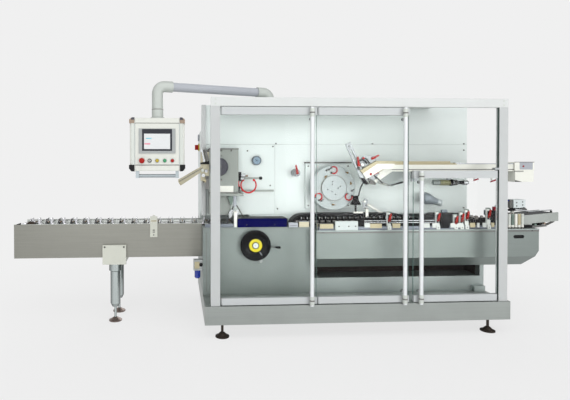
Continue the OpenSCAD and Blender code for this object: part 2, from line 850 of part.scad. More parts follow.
// The leaflet tray: a magazine post beside the folder and an inclined trough
module leaflet_tray() color("#a39d80") place() {
    post = [70, 80, 240];
    post_rise = 103;
    lip = [5, 60, 40];
    tray_z = folder_z + 197;
    translate([folder_x - post.x, folder_y + 10, folder_z + post_rise]) cube(post);
    translate([folder_x - post.x, folder_y + 10, tray_z]) rotate([0, -tray_slope, 0])
        translate([lip.x - tray_len, 0, -lip.z / 2]) cube([tray_len, lip.y, lip.z]);
}

module pressure_gauge() color("#8c979c") place() {
    gauge_x = 475;
    gauge_z = 1349;
    gauge_r = 40;
    gauge_t = 30;
    round_y(gauge_x, gauge_z, gauge_r, wall_y - gauge_t, wall_y);
}

module infeed_panels() color("#a0a19b") place() {
    span([-infeed_len, infeed_y, infeed_bottom], [0, infeed_in0, infeed_top]);
    span([-infeed_len, infeed_in1, infeed_bottom], [0, infeed_back, infeed_top]);
}

module infeed_floor() color("#8d8f8a") place() {
    end_drop = 60;
    span([-infeed_len, infeed_in0, infeed_bottom], [0, infeed_in1, infeed_bottom + end_plate_t]);
    span([-infeed_len, infeed_in0, infeed_bottom],
        [-infeed_len + end_plate_t, infeed_in1, infeed_top - end_drop]);
}

module infeed_chain() color("#6c6e70") place() {
    inset = 44;
    band_w = 12;
    wheel_in = 2;
    wheel_r = infeed_r - infeed_chain_t + 1;
    shaft_r = 20;
    for (y = [infeed_in0 + inset, infeed_in1 - inset - band_w]) {
        translate([infeed_wheel_x, y + band_w, infeed_wheel_z]) rotate([90, 0, 0]) linear_extrude(band_w)
            loop_ring(infeed_run, infeed_r, infeed_chain_t);
        for (x = [0, infeed_run])
            round_y(infeed_wheel_x + x, infeed_wheel_z, wheel_r, y + wheel_in, y + band_w - wheel_in);
    }
    for (x = [0, infeed_run])
        round_y(infeed_wheel_x + x, infeed_wheel_z, shaft_r, infeed_in0, infeed_in1);
}

// Draws a bucket piece's outline at each pitch of the infeed chain
module each_bucket() {
    side = 8;
    translate([infeed_wheel_x, infeed_in1 - side, infeed_wheel_z]) rotate([90, 0, 0])
        linear_extrude(infeed_in1 - infeed_in0 - 2 * side)
        for (i = [0 : bucket_count - 1])
            on_loop((i + 0.5) * bucket_pitch, infeed_run, infeed_r) children();
}

module bucket_floors() color("#c8cacc") place() each_bucket()
    translate([bucket_t - bucket_w / 2, 0]) square([bucket_w - 2 * bucket_t, bucket_t]);

module bucket_walls() color("#d4d6d8") place() each_bucket() {
    foot = bucket_w / 2;
    lip = foot + bucket_flare;
    top = bucket_t + bucket_h;
    for (side = [0, 1])
        mirror([side, 0]) polygon([[foot - bucket_t, 0], [foot, 0], [lip, top], [lip - bucket_t, top]]);
}

module infeed_leg_block() color("#d3d6cd") place() {
    half = leg_block_w / 2;
    plate_out = 22;
    margin = 10;
    span([-leg_x - half, infeed_y - plate_out, infeed_bottom - leg_block_drop],
        [-leg_x + half, infeed_y, infeed_bottom + leg_block_rise]);
    span([-leg_x - half + margin, infeed_y, infeed_bottom - leg_block_drop],
        [-leg_x + half - margin, infeed_back, infeed_bottom]);
}

module infeed_legs() color("#a9b2af") place() {
    top = infeed_bottom - leg_block_drop;
    leg_low = 118;
    collar = 11;
    collar_h = 58;
    for (y = [infeed_y + 42, infeed_back - 55])
        translate([-leg_x, y, 0]) rotate_extrude()
            polygon([[0, 0], [foot_d / 2, 0], [foot_d / 2, 8], [foot_d / 3, 16],
                [foot_stem_d * 0.8, 30], [foot_stem_d / 2, 30], [foot_stem_d / 2, leg_low],
                [leg_d / 3, leg_low + 4], [leg_d / 2, leg_low + 32], [leg_d / 2, top - collar_h - 6],
                [leg_d / 2 + collar, top - collar_h], [leg_d / 2 + collar, top], [0, top]]);
}

module sensor_bracket() color("#c7cdc4") place() {
    plate = [61, 8, 173];
    plate_z = infeed_top - 111;
    translate([-sensor_x - plate.x / 2, infeed_y - plate.y, plate_z]) cube(plate);
    round_y(-sensor_x, plate_z + plate.z - 4, 14, infeed_y - plate.y, infeed_y + 20);
}

module air_unit() color("#3c4660") place() {
    body = [74, 50, 85];
    bowl_h = 67;
    gap = 4;
    body_z = infeed_bottom - gap - body.z;
    translate([-body.x, cabinet_y + 10, body_z]) cube(body);
    translate([-body.x * 0.57, cabinet_y + 10 + body.y / 2, body_z - bowl_h]) cylinder(r = 24, h = bowl_h);
}

module discharge_frame() color("#b1b2ac") place() {
    for (y = [discharge_y, discharge_y + discharge_t + discharge_w])
        front_shape(y, y + discharge_t)
            polygon([[discharge_start, discharge_low], [discharge_end, discharge_low + end_rise],
                [discharge_end, discharge_low + end_rise + discharge_h],
                [discharge_start, discharge_low + discharge_h]]);
    span([discharge_start + 6, discharge_y, trough_top],
        [trough_end, discharge_y + 2 * discharge_t + discharge_w, discharge_low + 6]);
}

module discharge_belt() color("#3d4042") place() {
    under = 20;
    margin = 6;
    nose = 10;
    top = discharge_low + discharge_h - margin;
    front_shape(discharge_y + discharge_t, discharge_y + discharge_t + discharge_w)
        polygon([[discharge_start + nose, discharge_low + under],
            [discharge_end - 2 * margin, discharge_low + end_rise + under],
            [discharge_end - margin, top + end_rise - nose],
            [discharge_end - margin - nose, top + end_rise], [discharge_start + nose, top]]);
}

module discharge_guides() color("#d9dcda") place() {
    roller_x = 2528;
    roller_pitch = 28;
    roller_count = 5;
    roller_r = 12;
    roller_h = 122;
    block = [100, 80, 67];
    block_at = [2640, 300, 946];
    foot = [20, 20, block_at.z - trough_top];
    foot_at = [8, 30];
    for (i = [0 : roller_count - 1])
        translate([roller_x + i * roller_pitch, (guide_y0 + guide_y1) / 2, trough_top])
            cylinder(r = roller_r, h = roller_h);
    translate(block_at) cube(block);
    translate([block_at.x + foot_at.x, block_at.y + foot_at.y, trough_top]) cube(foot);
}

module folder_motor() color("#7d8890") place() {
    motor_at = [body_end - 455, wall_y - 90, 1032];
    motor_tilt = 108;
    foot = [50, 45];
    translate(motor_at) rotate([0, motor_tilt, 0]) rotate_extrude()
        polygon([[0, 0], [40, 0], [50, 14], [48, 50], [36, 84], [28, 120], [28, 172], [0, 172]]);
    span([motor_at.x + foot.x - 5, motor_at.y, motor_at.z - foot.y - 2],
        [motor_at.x + 2 * foot.x - 5, wall_y, motor_at.z - 2]);
}

// An air cylinder hung below the bed
module air_cylinder() {
    body_len = 156;
    rod_len = 72;
    eye_len = 21;
    x0 = 2034;
    y = magazine_back - 20;
    z = magazine_low - 99;
    body_r = 19;
    rod_r = 8;
    eye_r = 15;
    strap = [30, 20, magazine_low - z];
    strap_in = 62;
    rod_x = x0 + body_len;
    eye_x = rod_x + rod_len;
    round_x(y, z, body_r, x0, rod_x);
    round_x(y, z, rod_r, rod_x, eye_x);
    round_x(y, z, eye_r, eye_x, eye_x + eye_len);
    translate([x0 + strap_in, y - strap.y / 2, z]) cube(strap);
}

module arm_base() color("#dddcd2") place() translate([swivel_x, swivel_y, guard_top]) {
    cylinder(d = elbow_d + 40, h = flange_h);
    cylinder(d = swivel_d, h = flange_h + swivel_depth);
}

// A quarter bend from along +X to straight up or down, in the XZ plane
module quarter_bend(r) {
    rotate([90, 0, 0]) rotate_extrude(angle = 90) translate([bend_r, 0]) circle(r);
}

module arm_tube() color("#b1b5be") place() difference() {
    r = elbow_d / 2;
    translate([hmi_x, neck_y, 0]) rotate(arm_turn) union() {
        translate([0, 0, neck_joint_z + swivel_gap])
            cylinder(r = r, h = arm_z - bend_r - neck_joint_z - swivel_gap);
        translate([bend_r, 0, arm_z - bend_r]) mirror([1, 0, 0]) quarter_bend(r);
        round_x(0, arm_z, r, bend_r, bend_r + 60);
        round_x(0, arm_z, arm_d / 2, bend_r + 60, arm_len - bend_r - 50);
        round_x(0, arm_z, r, arm_len - bend_r - 50, arm_len - bend_r);
        translate([arm_len - bend_r, 0, arm_z - bend_r]) quarter_bend(r);
        translate([arm_len, 0, guard_top + flange_h + swivel_gap])
            cylinder(r = r, h = arm_z - bend_r - guard_top - flange_h - swivel_gap);
        translate([0, 0, neck_joint_z - swivel_depth]) cylinder(d = swivel_d, h = swivel_depth + 16);
    }
    translate([swivel_x, swivel_y, guard_top])
        cylinder(d = swivel_d + 2 * pivot_clear, h = flange_h + swivel_depth + 1);
}

// The panel's plan: a box with rounded corner profiles
module hmi_plan() {
    inner = [hmi_w - 2 * hmi_corner, hmi_d - 2 * hmi_corner];
    translate([-inner.x / 2, 0]) square([inner.x, hmi_d]);
    translate([-hmi_w / 2, hmi_corner]) square([hmi_w, inner.y]);
    for (x = [-1, 1], y = [hmi_corner, hmi_d - hmi_corner])
        translate([x * inner.x / 2, y]) circle(hmi_corner);
}

module hmi_box() color("#e6e6da") place() difference() {
    union() {
        translate([hmi_x, hmi_front, hmi_z]) linear_extrude(hmi_h) hmi_plan();
        translate([hmi_x, neck_y, hmi_top]) cylinder(d = elbow_d, h = neck_joint_z - hmi_top);
    }
    translate([hmi_x, neck_y, neck_joint_z - swivel_depth - 2])
        cylinder(d = swivel_d + 2 * pivot_clear, h = swivel_depth + 6);
}

module hmi_screen() color("#8f9496") place()
    span([hmi_x - screen_w / 2, hmi_front - screen_out, hmi_top - screen_drop - screen_h],
        [hmi_x + screen_w / 2, hmi_front, hmi_top - screen_drop]);

module hmi_buttons() color("#b02a20") place() {
    button_z = hmi_z + 75;
    pitch = 55;
    stop_r = 20;
    stem_r = 13;
    cap_r = 14;
    cap_out = 14;
    stop_y = hmi_front - button_h;
    round_y(hmi_x - 2 * pitch, button_z, stop_r, stop_y, stop_y + cap_out);
    round_y(hmi_x - 2 * pitch, button_z, stem_r, stop_y + cap_out, hmi_front);
    for (i = [-1 : 2])
        round_y(hmi_x + i * pitch, button_z, cap_r, hmi_front - cap_out, hmi_front);
}

// The bar under the panel, held in a block at each end
module hmi_handle() color("#8f9a9e") place() {
    grip_y = hmi_front + 24;
    grip_z = hmi_z - 36;
    grip_r = 13;
    grip_len = 265;
    block = [24, 34, 52];
    round_x(grip_y, grip_z, grip_r, hmi_x - grip_len / 2, hmi_x + grip_len / 2);
    for (x = [-grip_len / 2 - block.x, grip_len / 2])
        translate([hmi_x + x, grip_y - block.y / 2, hmi_z - block.z]) cube(block);
}

// One door rail with a round pivot end and a bore for its pivot
module door_rail(pivot_x, free_x, z0, z1, bore_z) {
    low_x = min(pivot_x, free_x);
    difference() {
        union() {
            span([low_x, 0, z0], [low_x + abs(free_x - pivot_x), rail_d, z1]);
            translate([pivot_x, pivot_y, z0]) cylinder(r = rail_d / 2, h = z1 - z0);
        }
        translate([pivot_x, pivot_y, bore_z])
            cylinder(d = pivot_d + 2 * pivot_clear, h = pivot_len + 2);
    }
}

// Two rails, and a bar on stand-offs fixed to the clear panel
module door_rails(pivot_x, free_x, top) {
    side = free_x > pivot_x ? 1 : -1;
    bar_x = free_x - side * bar_inset;
    door_rail(pivot_x, free_x, door_z0, door_z0 + rail_bottom_h, door_z0 - 1);
    door_rail(pivot_x, free_x, top - rail_top_h, top, top - pivot_len - 1);
    translate([bar_x, bar_y, door_z0 - 10]) cylinder(d = bar_d, h = top - door_z0 + 10);
    for (z = [door_z0 + rail_bottom_h + 20, top - rail_top_h - 42])
        span([bar_x - 9, bar_y, z], [bar_x + 9, pivot_y - glass_t / 2, z + standoff]);
}

module door_glass(pivot_x, free_x, top) {
    side = free_x > pivot_x ? 1 : -1;
    x0 = pivot_x - side * (pivot_y - 2);
    x1 = free_x - side * 1;
    span([min(x0, x1), pivot_y - glass_t / 2, door_z0 + rail_bottom_h],
        [max(x0, x1), pivot_y + glass_t / 2, top - rail_top_h]);
}

module left_door_rails() color("#d8dede") place()
    door_rails(left_pivot_x, left_door_end, door_z1);

module left_door_glass() color("#dfeee8", 0.3) place()
    door_glass(left_pivot_x, left_door_end, door_z1);

module middle_door_rails() color("#d8dede") place()
    door_rails(middle_pivot_x, middle_door_end, door_z1);

module middle_door_glass() color("#dfeee8", 0.3) place()
    door_glass(middle_pivot_x, middle_door_end, door_z1);

module right_door_rails() color("#d8dede") place()
    door_rails(right_pivot_x, right_door_start, right_door_top);

module right_door_glass() color("#dfeee8", 0.3) place()
    door_glass(right_pivot_x, right_door_start, right_door_top);

// A dished wheel with a raised rim, a hub and a crank folded out to the right
module handwheel() color("#141414") place()
    translate([wheel_x, cabinet_y - wheel_gap, wheel_z]) rotate([90, 0, 0]) {
        rim = wheel_d / 2;
        hub = 54;
        crank_z = 34;
        rotate_extrude() polygon([[0, 0], [30, 0], [30, 8], [rim - 24, 22], [rim - 8, 20],
            [rim, 30], [rim - 4, 44], [rim - 16, 46], [rim - 26, crank_z], [hub + 2, 22],
            [hub, crank_z], [0, crank_z]]);
        translate([0, 0, -wheel_gap - shaft_in]) cylinder(d = wheel_shaft_d, h = wheel_gap + shaft_in + 1);
        translate([rim - 10, 0, crank_z]) rotate([0, 90, 0])
            cylinder(r1 = 6, r2 = 11, h = crank_reach - rim + 10);
    }

// Half the drum's section: cap, face disc, rear flange, hub and shaft
module drum_profile() {
    r = drum_d / 2;
    shaft_r = feeder_shaft_d / 2;
    hub_r = shaft_r + 16;
    hub_z = hub_end - drum_y + cap_t;
    shaft_z = wall_y - 1 - drum_y + cap_t;
    edge = 6;
    face_end = cap_t + drum_t;
    flange_z = face_end + flange_gap;
    polygon([[0, 0], [cap_d / 2, 0], [cap_d / 2, cap_t], [r - edge, cap_t], [r, cap_t + edge],
        [r, face_end], [hub_r, face_end], [hub_r, flange_z], [r, flange_z], [r, flange_z + flange_t],
        [hub_r, flange_z + flange_t], [hub_r, hub_z], [shaft_r, hub_z], [shaft_r, shaft_z], [0, shaft_z]]);
}

module feeder_drum() color("#c9d5d5") place()
    translate([feeder_x, drum_y - cap_t, feeder_z]) rotate([-90, 0, 0]) rotate_extrude() drum_profile();

module feeder_hoses() color("#c8202a") place()
    for (a = [90, 210, 330])
        translate([feeder_x + loop_at * cos(a), drum_y - hose_d / 2, feeder_z + loop_at * sin(a)])
            rotate([90, 0, 0]) hose_loop();

// A loop of hose lying on the drum, with a ferrule at each end
module hose_loop() {
    rotate_extrude(angle = 270) translate([loop_r, 0]) circle(d = hose_d);
    for (a = [0, 270])
        rotate(a) translate([loop_r, 0, -hose_d / 2]) cylinder(d = hose_d + 4, h = hose_d + 2);
}

base_plinth();
machine_feet();
drive_cabinet();
lower_panel();
machine_bed();
carton_trough();
blue_cover();
guard_posts();
top_beam();
roof_panel();
wall_panels();
rear_housing();
rear_panels();
main_switch();
door_pivots();
feeder_plate();
shaft_clamp();
magazine_bed();
magazine_belt();
magazine_brackets();
magazine_arm();
carton_chain();
chain_rails();
chain_hood();
clamp_posts();
clamp_levers();
carton_opener();
leaflet_folder();
folder_hose();
leaflet_tray();
pressure_gauge();
infeed_panels();
infeed_floor();
infeed_chain();
bucket_floors();
bucket_walls();
infeed_leg_block();
infeed_legs();
sensor_bracket();
air_unit();
discharge_frame();
discharge_belt();
discharge_guides();
folder_motor();
arm_base();
arm_tube();
hmi_box();
hmi_screen();
hmi_buttons();
hmi_handle();
left_door_rails();
left_door_glass();
middle_door_rails();
middle_door_glass();
right_door_rails();
right_door_glass();
handwheel();
feeder_drum();
feeder_hoses();
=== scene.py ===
# %% [markdown]
# # Dressing an automatic cartoner
# The machine packs products into cartons: buckets bring the products in from the left,
# a rotary feeder opens a flat blank, and a lug chain carries the filled carton to the right.
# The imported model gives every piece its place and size, so this lesson only adds looks:
# finishes, small fittings and softened edges. Everything is in metres, in the model's frame.

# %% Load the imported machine
import math

import bmesh
import bpy
from mathutils import Matrix, Vector


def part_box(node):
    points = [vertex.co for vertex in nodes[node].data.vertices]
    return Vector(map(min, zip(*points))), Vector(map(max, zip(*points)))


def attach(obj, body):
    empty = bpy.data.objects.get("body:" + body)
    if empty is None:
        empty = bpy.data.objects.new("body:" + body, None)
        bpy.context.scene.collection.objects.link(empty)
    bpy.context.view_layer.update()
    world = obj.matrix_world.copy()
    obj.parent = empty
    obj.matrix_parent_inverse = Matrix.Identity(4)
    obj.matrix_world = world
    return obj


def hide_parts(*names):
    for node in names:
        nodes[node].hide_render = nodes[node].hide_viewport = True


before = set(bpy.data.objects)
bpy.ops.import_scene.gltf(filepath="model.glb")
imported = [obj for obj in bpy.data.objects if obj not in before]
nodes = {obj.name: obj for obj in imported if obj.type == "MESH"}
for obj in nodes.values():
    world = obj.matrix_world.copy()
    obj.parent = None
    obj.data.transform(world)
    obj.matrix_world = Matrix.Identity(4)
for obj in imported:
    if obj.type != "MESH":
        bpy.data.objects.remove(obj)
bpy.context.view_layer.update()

# %% [markdown]
# ## Camera
# The photograph is cropped from a wider picture, so its optical axis isn't in its middle.
# A lens shift gives the same crop without bending the upright posts. The values come from
# matching posts, beam, plinth and infeed edges, which have known places in the frame.

# %% Camera
IMAGE_W, IMAGE_H = 570, 400
FOCAL_PX = 450.0
AXIS_PX = (203.32, 166.89)
CAMERA_PLACE = (-0.9125, -3.9229, 1.3366)
CAMERA_YAW, CAMERA_PITCH, CAMERA_ROLL = 0.0535, 0.0108, 0.001

scene = bpy.context.scene
scene.view_settings.view_transform = "Standard"
camera = bpy.data.objects.new("camera", bpy.data.cameras.new("camera"))
scene.collection.objects.link(camera)
camera.data.sensor_width = 36.0
camera.data.lens = FOCAL_PX / IMAGE_W * camera.data.sensor_width
camera.data.shift_x = (IMAGE_W / 2 - AXIS_PX[0]) / IMAGE_W
camera.data.shift_y = (AXIS_PX[1] - IMAGE_H / 2) / IMAGE_W
camera.location = CAMERA_PLACE
camera.rotation_euler = (math.pi / 2 - CAMERA_PITCH, CAMERA_ROLL, -CAMERA_YAW)
scene.camera = camera
print("lens", round(camera.data.lens, 2), "shift", round(camera.data.shift_x, 4))

# %% [markdown]
# ## Studio
# A product picture is lit by big soft boxes in a pale room. The world shows a pale grey to
# the camera, to reflections and through the clear doors, and gives a dimmer light to the
# rest. The floor keeps the machine's shadow near it and fades into the backdrop further out.
# All shaders are wired in code, so short helpers make nodes and fill their inputs.

# %% Colours and shader nodes
def tone(red, green, blue):
    """A colour given as screen values from 0 to 255, turned into linear light."""
    def linear(v):
        v /= 255
        return v / 12.92 if v <= 0.04045 else ((v + 0.055) / 1.055) ** 2.4
    return (linear(red), linear(green), linear(blue), 1.0)


def feed(tree, node, inputs):
    """Sets a node's inputs to values, or links them where the value is another node's output."""
    for label, value in inputs.items():
        if isinstance(value, bpy.types.NodeSocket):
            tree.links.new(value, node.inputs[label])
        else:
            node.inputs[label].default_value = value
    return node


def add(tree, kind, inputs=None, operation=None):
    """A new shader node with its inputs filled."""
    node = tree.nodes.new("ShaderNode" + kind)
    if operation:
        node.operation = operation
    return feed(tree, node, inputs or {})


def new_material(name, inputs):
    """A material, its node tree and its Principled node with these inputs."""
    made = bpy.data.materials.new(name)
    made.use_nodes = True
    tree = made.node_tree
    return made, tree, feed(tree, tree.nodes["Principled BSDF"], inputs)


BACKDROP = tone(240, 240, 240)
print("backdrop", round(BACKDROP[0], 3))

# %% Room light
ROOM_LIGHT = 0.5


def seen_directly(tree):
    """1 for rays from the camera, reflections and clear panels, 0 for soft bounced light."""
    rays = add(tree, "LightPath").outputs
    total = rays["Is Camera Ray"]
    for kind in ("Is Glossy Ray", "Is Transmission Ray"):
        total = add(tree, "Math", {0: total, 1: rays[kind]}, "MAXIMUM").outputs[0]
    return total


scene.world = bpy.data.worlds.new("studio")
scene.world.use_nodes = True
tree = scene.world.node_tree
tree.nodes.clear()
soft = add(tree, "Background", {"Color": (1.0, 1.0, 1.0, 1.0), "Strength": ROOM_LIGHT})
shown = add(tree, "Background", {"Color": BACKDROP})
mix = add(tree, "MixShader", {"Fac": seen_directly(tree), 1: soft.outputs[0], 2: shown.outputs[0]})
add(tree, "OutputWorld", {"Surface": mix.outputs[0]})
print("room light", ROOM_LIGHT)

# %% Soft boxes
MIDDLE, PANEL_SIDE = (0.2, 0.0, 0.9), (-0.7, 0.0, 1.2)
SOFT_BOXES = {  # place, aim, width and height, power in watts
    "key_box": ((-2.4, -6.0, 1.6), MIDDLE, (3.6, 2.6), 64),
    "fill_box": ((3.0, -6.0, 1.5), MIDDLE, (3.6, 2.6), 90),
    "top_box": ((0.1, -2.6, 4.6), MIDDLE, (5.0, 2.2), 60),
    "left_box": ((-5.5, -0.5, 2.0), PANEL_SIDE, (2.6, 2.2), 26),
    "rear_box": ((0.4, 5.5, 3.4), MIDDLE, (5.0, 2.4), 90)}
NOT_MIRRORED = "left_box"
for name, (place, aim, size, power) in SOFT_BOXES.items():
    lamp = bpy.data.lights.new(name, "AREA")
    lamp.shape = "RECTANGLE"
    lamp.size, lamp.size_y = size
    lamp.energy = power
    box = bpy.data.objects.new(name, lamp)
    box.location = place
    box.rotation_euler = (Vector(aim) - Vector(place)).to_track_quat("-Z", "Y").to_euler()
    box.visible_glossy = name != NOT_MIRRORED
    scene.collection.objects.link(box)
print("soft boxes", len(SOFT_BOXES))

# %% [markdown]
# ## Dark flags and floor
# Round steel looks flat where everything round it is pale. A photographer stands dark cards to
# both sides, just out of the picture, and their reflections draw the flanks of legs and rods.
# Here they are seen by reflections only, so they take no light from the machine.

# %% Dark flags
FLAGS, FLAG_TOP = {"left_flag": (-4.4, -3.6, 2.6), "right_flag": (4.2, -0.6, 2.6)}, 3.4
cloth = new_material("flag_cloth", {"Base Color": (0.03, 0.03, 0.03, 1.0), "Roughness": 1.0})[0]


def backdrop_piece(name, points, material):
    """One flat face that belongs to the stage and not to the machine."""
    mesh = bpy.data.meshes.new(name)
    mesh.from_pydata(points, [], [range(len(points))])
    mesh.materials.append(material)
    piece = bpy.data.objects.new(name, mesh)
    scene.collection.objects.link(piece)
    return piece


for name, (x, near, far) in FLAGS.items():
    corners = [(x, near, 0), (x, far, 0), (x, far, FLAG_TOP), (x, near, FLAG_TOP)]
    flag = backdrop_piece(name, corners, cloth)
    flag.visible_camera = flag.visible_diffuse = False
    flag.visible_transmission = flag.visible_shadow = False
print("flags", len(FLAGS))

# %% Floor
FLOOR_R, FLOOR_SIDES, FLOOR_DROP = 30.0, 96, 0.0005
FADE_START, FADE_END, FLOOR_GLOW = 1.6, 3.6, 0.8


def full_circle(sides):
    """Angles in equal steps, once round."""
    return [2 * math.pi * i / sides for i in range(sides)]


paper, tree, bsdf = new_material("floor_paper", {
    "Base Color": (0.93, 0.93, 0.93, 1.0), "Roughness": 0.95, "Specular IOR Level": 0.1})
glow = add(tree, "Emission", {"Color": BACKDROP})
spot = add(tree, "NewGeometry").outputs["Position"]
reach = add(tree, "VectorMath", {0: spot}, "LENGTH").outputs["Value"]
fade = add(tree, "MapRange", {
    "Value": reach, "From Min": FADE_START, "From Max": FADE_END, "To Min": FLOOR_GLOW})
share = add(tree, "Math", {0: fade.outputs["Result"], 1: seen_directly(tree)}, "MULTIPLY")
blend = add(tree, "MixShader", {"Fac": share.outputs[0], 1: bsdf.outputs[0], 2: glow.outputs[0]})
feed(tree, tree.nodes["Material Output"], {"Surface": blend.outputs[0]})
disc = [(-FLOOR_R * math.sin(t), FLOOR_R * math.cos(t), 0) for t in full_circle(FLOOR_SIDES)]
floor = backdrop_piece("floor", disc, paper)
floor.location.z = -FLOOR_DROP
print("floor radius", FLOOR_R)

# %% [markdown]
# ## Effects that several finishes share
# Satin sheet shows fine lines where it was brushed, paint has a slight orange peel, every
# handled surface is a little uneven in gloss, and inner corners are darkened, by dust and by
# painted shade. Each effect is one node group that puts out a mask or a height, so a finish
# only sets how strong it is.

# %% Node groups
def effect(name, inputs, output):
    """An empty node group with float inputs and one float output."""
    group = bpy.data.node_groups.new(name, "ShaderNodeTree")
    for label, value in inputs.items():
        socket = group.interface.new_socket(label, in_out="INPUT", socket_type="NodeSocketFloat")
        socket.default_value = value
    group.interface.new_socket(output, in_out="OUTPUT", socket_type="NodeSocketFloat")
    return group, group.nodes.new("NodeGroupInput").outputs, group.nodes.new("NodeGroupOutput")


def clouds_of(name, fineness, value, output, detail, roughness):
    """Noise over the piece, whose fineness is the group's input."""
    group, given, end = effect(name, {fineness: value}, output)
    spot = add(group, "TexCoord").outputs["Object"]
    noise = add(group, "TexNoise", {
        "Vector": spot, "Scale": given[fineness], "Detail": detail, "Roughness": roughness})
    feed(group, end, {0: noise.outputs["Fac"]})
    return group


def brushed_lines():
    """Long streaks: noise that changes slowly along the sheet and fast up it."""
    group, given, end = effect("brushed lines", {"Along": 3.0, "Across": 320.0}, "Lines")
    spot = add(group, "TexCoord").outputs["Object"]
    along, across = given["Along"], given["Across"]
    stretch = add(group, "CombineXYZ", {"X": along, "Y": along, "Z": across})
    scaled = add(group, "VectorMath", {0: spot, 1: stretch.outputs[0]}, "MULTIPLY")
    noise = add(group, "TexNoise", {"Vector": scaled.outputs[0], "Scale": 1.0, "Detail": 3.0})
    feed(group, end, {0: noise.outputs["Fac"]})
    return group


def corner_dust_and_shade():
    """1 in the open and less in tight corners: a mask for dust and for painted shade."""
    group, given, end = effect("corner dust and shade", {"Reach": 0.04}, "Open")
    shelter = add(group, "AmbientOcclusion", {"Distance": given["Reach"]})
    shelter.samples = 4
    feed(group, end, {0: shelter.outputs["AO"]})
    return group


LINES, DUST_AND_SHADE = brushed_lines(), corner_dust_and_shade()
CLOUDS = clouds_of("uneven gloss", "Size", 4.0, "Clouds", 5.0, 0.6)
PEEL = clouds_of("orange peel", "Grain", 260.0, "Height", 2.0, 0.5)
print("effects", len(bpy.data.node_groups))

# %% [markdown]
# ## Finishes
# A finish starts from one colour. The clouds make it slightly lighter and darker, the corner
# mask paints dust and shade into its corners, and the lines or the peel become bump. Metal keeps
# a high Metallic, so its brightness comes from what it reflects. Paint and plastic stay at zero.

# %% Finish builder
FINISHES = {}
DUST_AND_SHADE_REACH, OPEN_FROM, BUMP_DEPTH = 0.05, 0.8, 0.0004
FLANK_FROM, FLANK_TO = 0.12, 0.7
COAT_ROUGHNESS, SMOOTHER, ROUGHER = 0.08, 0.05, 0.08


def place_effect(tree, group, **values):
    node = add(tree, "Group")
    node.node_tree = group
    return feed(tree, node, values).outputs[0]


def remap(tree, source, low, high, from_low=0.25, from_high=0.75):
    return add(tree, "MapRange", {"Value": source, "From Min": from_low, "From Max": from_high,
                                  "To Min": low, "To Max": high}).outputs["Result"]


def product(tree, a, b):
    return add(tree, "Math", {0: a, 1: b}, "MULTIPLY").outputs[0]


def finish(name, colour, rough, metal, vary, lines=None, peel=None, shine=0.5, dust_and_shade=0.35, bump=0.1,
           cloud_size=4.0, coat=0.0, flank_shade=0.0):
    """A procedural finish. lines is (along, across), peel the grain's fineness, and the flank
    factor paints shade on the sides that turn away from the view."""
    FINISHES[name], tree, bsdf = new_material(name, {
        "Metallic": metal, "Coat Weight": coat, "Coat Roughness": COAT_ROUGHNESS,
        "Specular IOR Level": shine})
    clouds = place_effect(tree, CLOUDS, Size=cloud_size)
    shade = remap(tree, clouds, 1 - vary, 1 + vary)
    # Painted shade and dust: the occlusion mask darkens the colour in inner corners.
    opened = place_effect(tree, DUST_AND_SHADE, Reach=DUST_AND_SHADE_REACH)
    shade = product(tree, shade, remap(tree, opened, 1 - dust_and_shade, 1.0, 0.0, OPEN_FROM))
    if lines:
        height = place_effect(tree, LINES, Along=lines[0], Across=lines[1])
        shade = product(tree, shade, remap(tree, height, 1 - vary, 1 + vary))
    else:
        height = place_effect(tree, PEEL, Grain=peel)
    # Painted shade: the colour gets darker where the surface turns away from the view.
    if flank_shade:
        facing = add(tree, "LayerWeight").outputs["Facing"]
        shade = product(tree, shade, remap(tree, facing, 1.0, 1 - flank_shade, FLANK_FROM, FLANK_TO))
    scale = add(tree, "VectorMath", {0: tone(*colour)[:3], "Scale": shade}, "SCALE")
    raised = add(tree, "Bump", {"Strength": bump, "Distance": BUMP_DEPTH, "Height": height})
    feed(tree, bsdf, {"Base Color": scale.outputs[0], "Normal": raised.outputs[0],
                      "Roughness": remap(tree, clouds, rough - SMOOTHER, rough + ROUGHER)})


print("finish builder ready")

# %% Brushed metals
SHEET_LINES = (3.0, 340.0)
BRUSHED = {  # colour, roughness, metal, variation, lines along and across
    "satin_sheet": ((166, 171, 167), 0.42, 0.85, 0.06, SHEET_LINES),
    "plinth_sheet": ((157, 162, 159), 0.42, 0.85, 0.06, SHEET_LINES),
    "infeed_sheet": ((143, 143, 136), 0.44, 0.85, 0.06, SHEET_LINES),
    "cabinet_sheet": ((134, 142, 139), 0.44, 0.85, 0.06, SHEET_LINES),
    "low_sheet": ((157, 165, 163), 0.44, 0.85, 0.06, SHEET_LINES),
    "arm_steel": ((148, 152, 154), 0.4, 0.8, 0.08, (60.0, 300.0)),
    "rail_steel": ((122, 128, 136), 0.36, 0.85, 0.08, (6.0, 340.0)),
    "bright_steel": ((205, 208, 210), 0.22, 0.95, 0.04, (40.0, 420.0)),
    "dark_steel": ((92, 92, 90), 0.36, 0.9, 0.1, (60.0, 300.0)),
    "tray_beige": ((186, 180, 156), 0.42, 0.3, 0.1, (30.0, 300.0)),
    "profile_grey": ((204, 209, 203), 0.36, 0.1, 0.03, (420.0, 3.0)),
    "skirt_steel": ((142, 149, 147), 0.36, 0.4, 0.08, (40.0, 300.0)),
    "alu_grey": ((212, 220, 220), 0.34, 0.4, 0.04, (40.0, 380.0)),
    "handle_grey": ((160, 169, 173), 0.3, 0.4, 0.04, (40.0, 380.0))}
for name, row in BRUSHED.items():
    finish(name, *row)
finish("tube_steel", (190, 198, 197), 0.2, 0.95, 0.04, (420.0, 3.0), flank_shade=0.9)
finish("bucket_bright", (226, 226, 230), 0.16, 0.9, 0.03, (30.0, 300.0), dust_and_shade=0.15)
print("brushed metals", len(FINISHES))

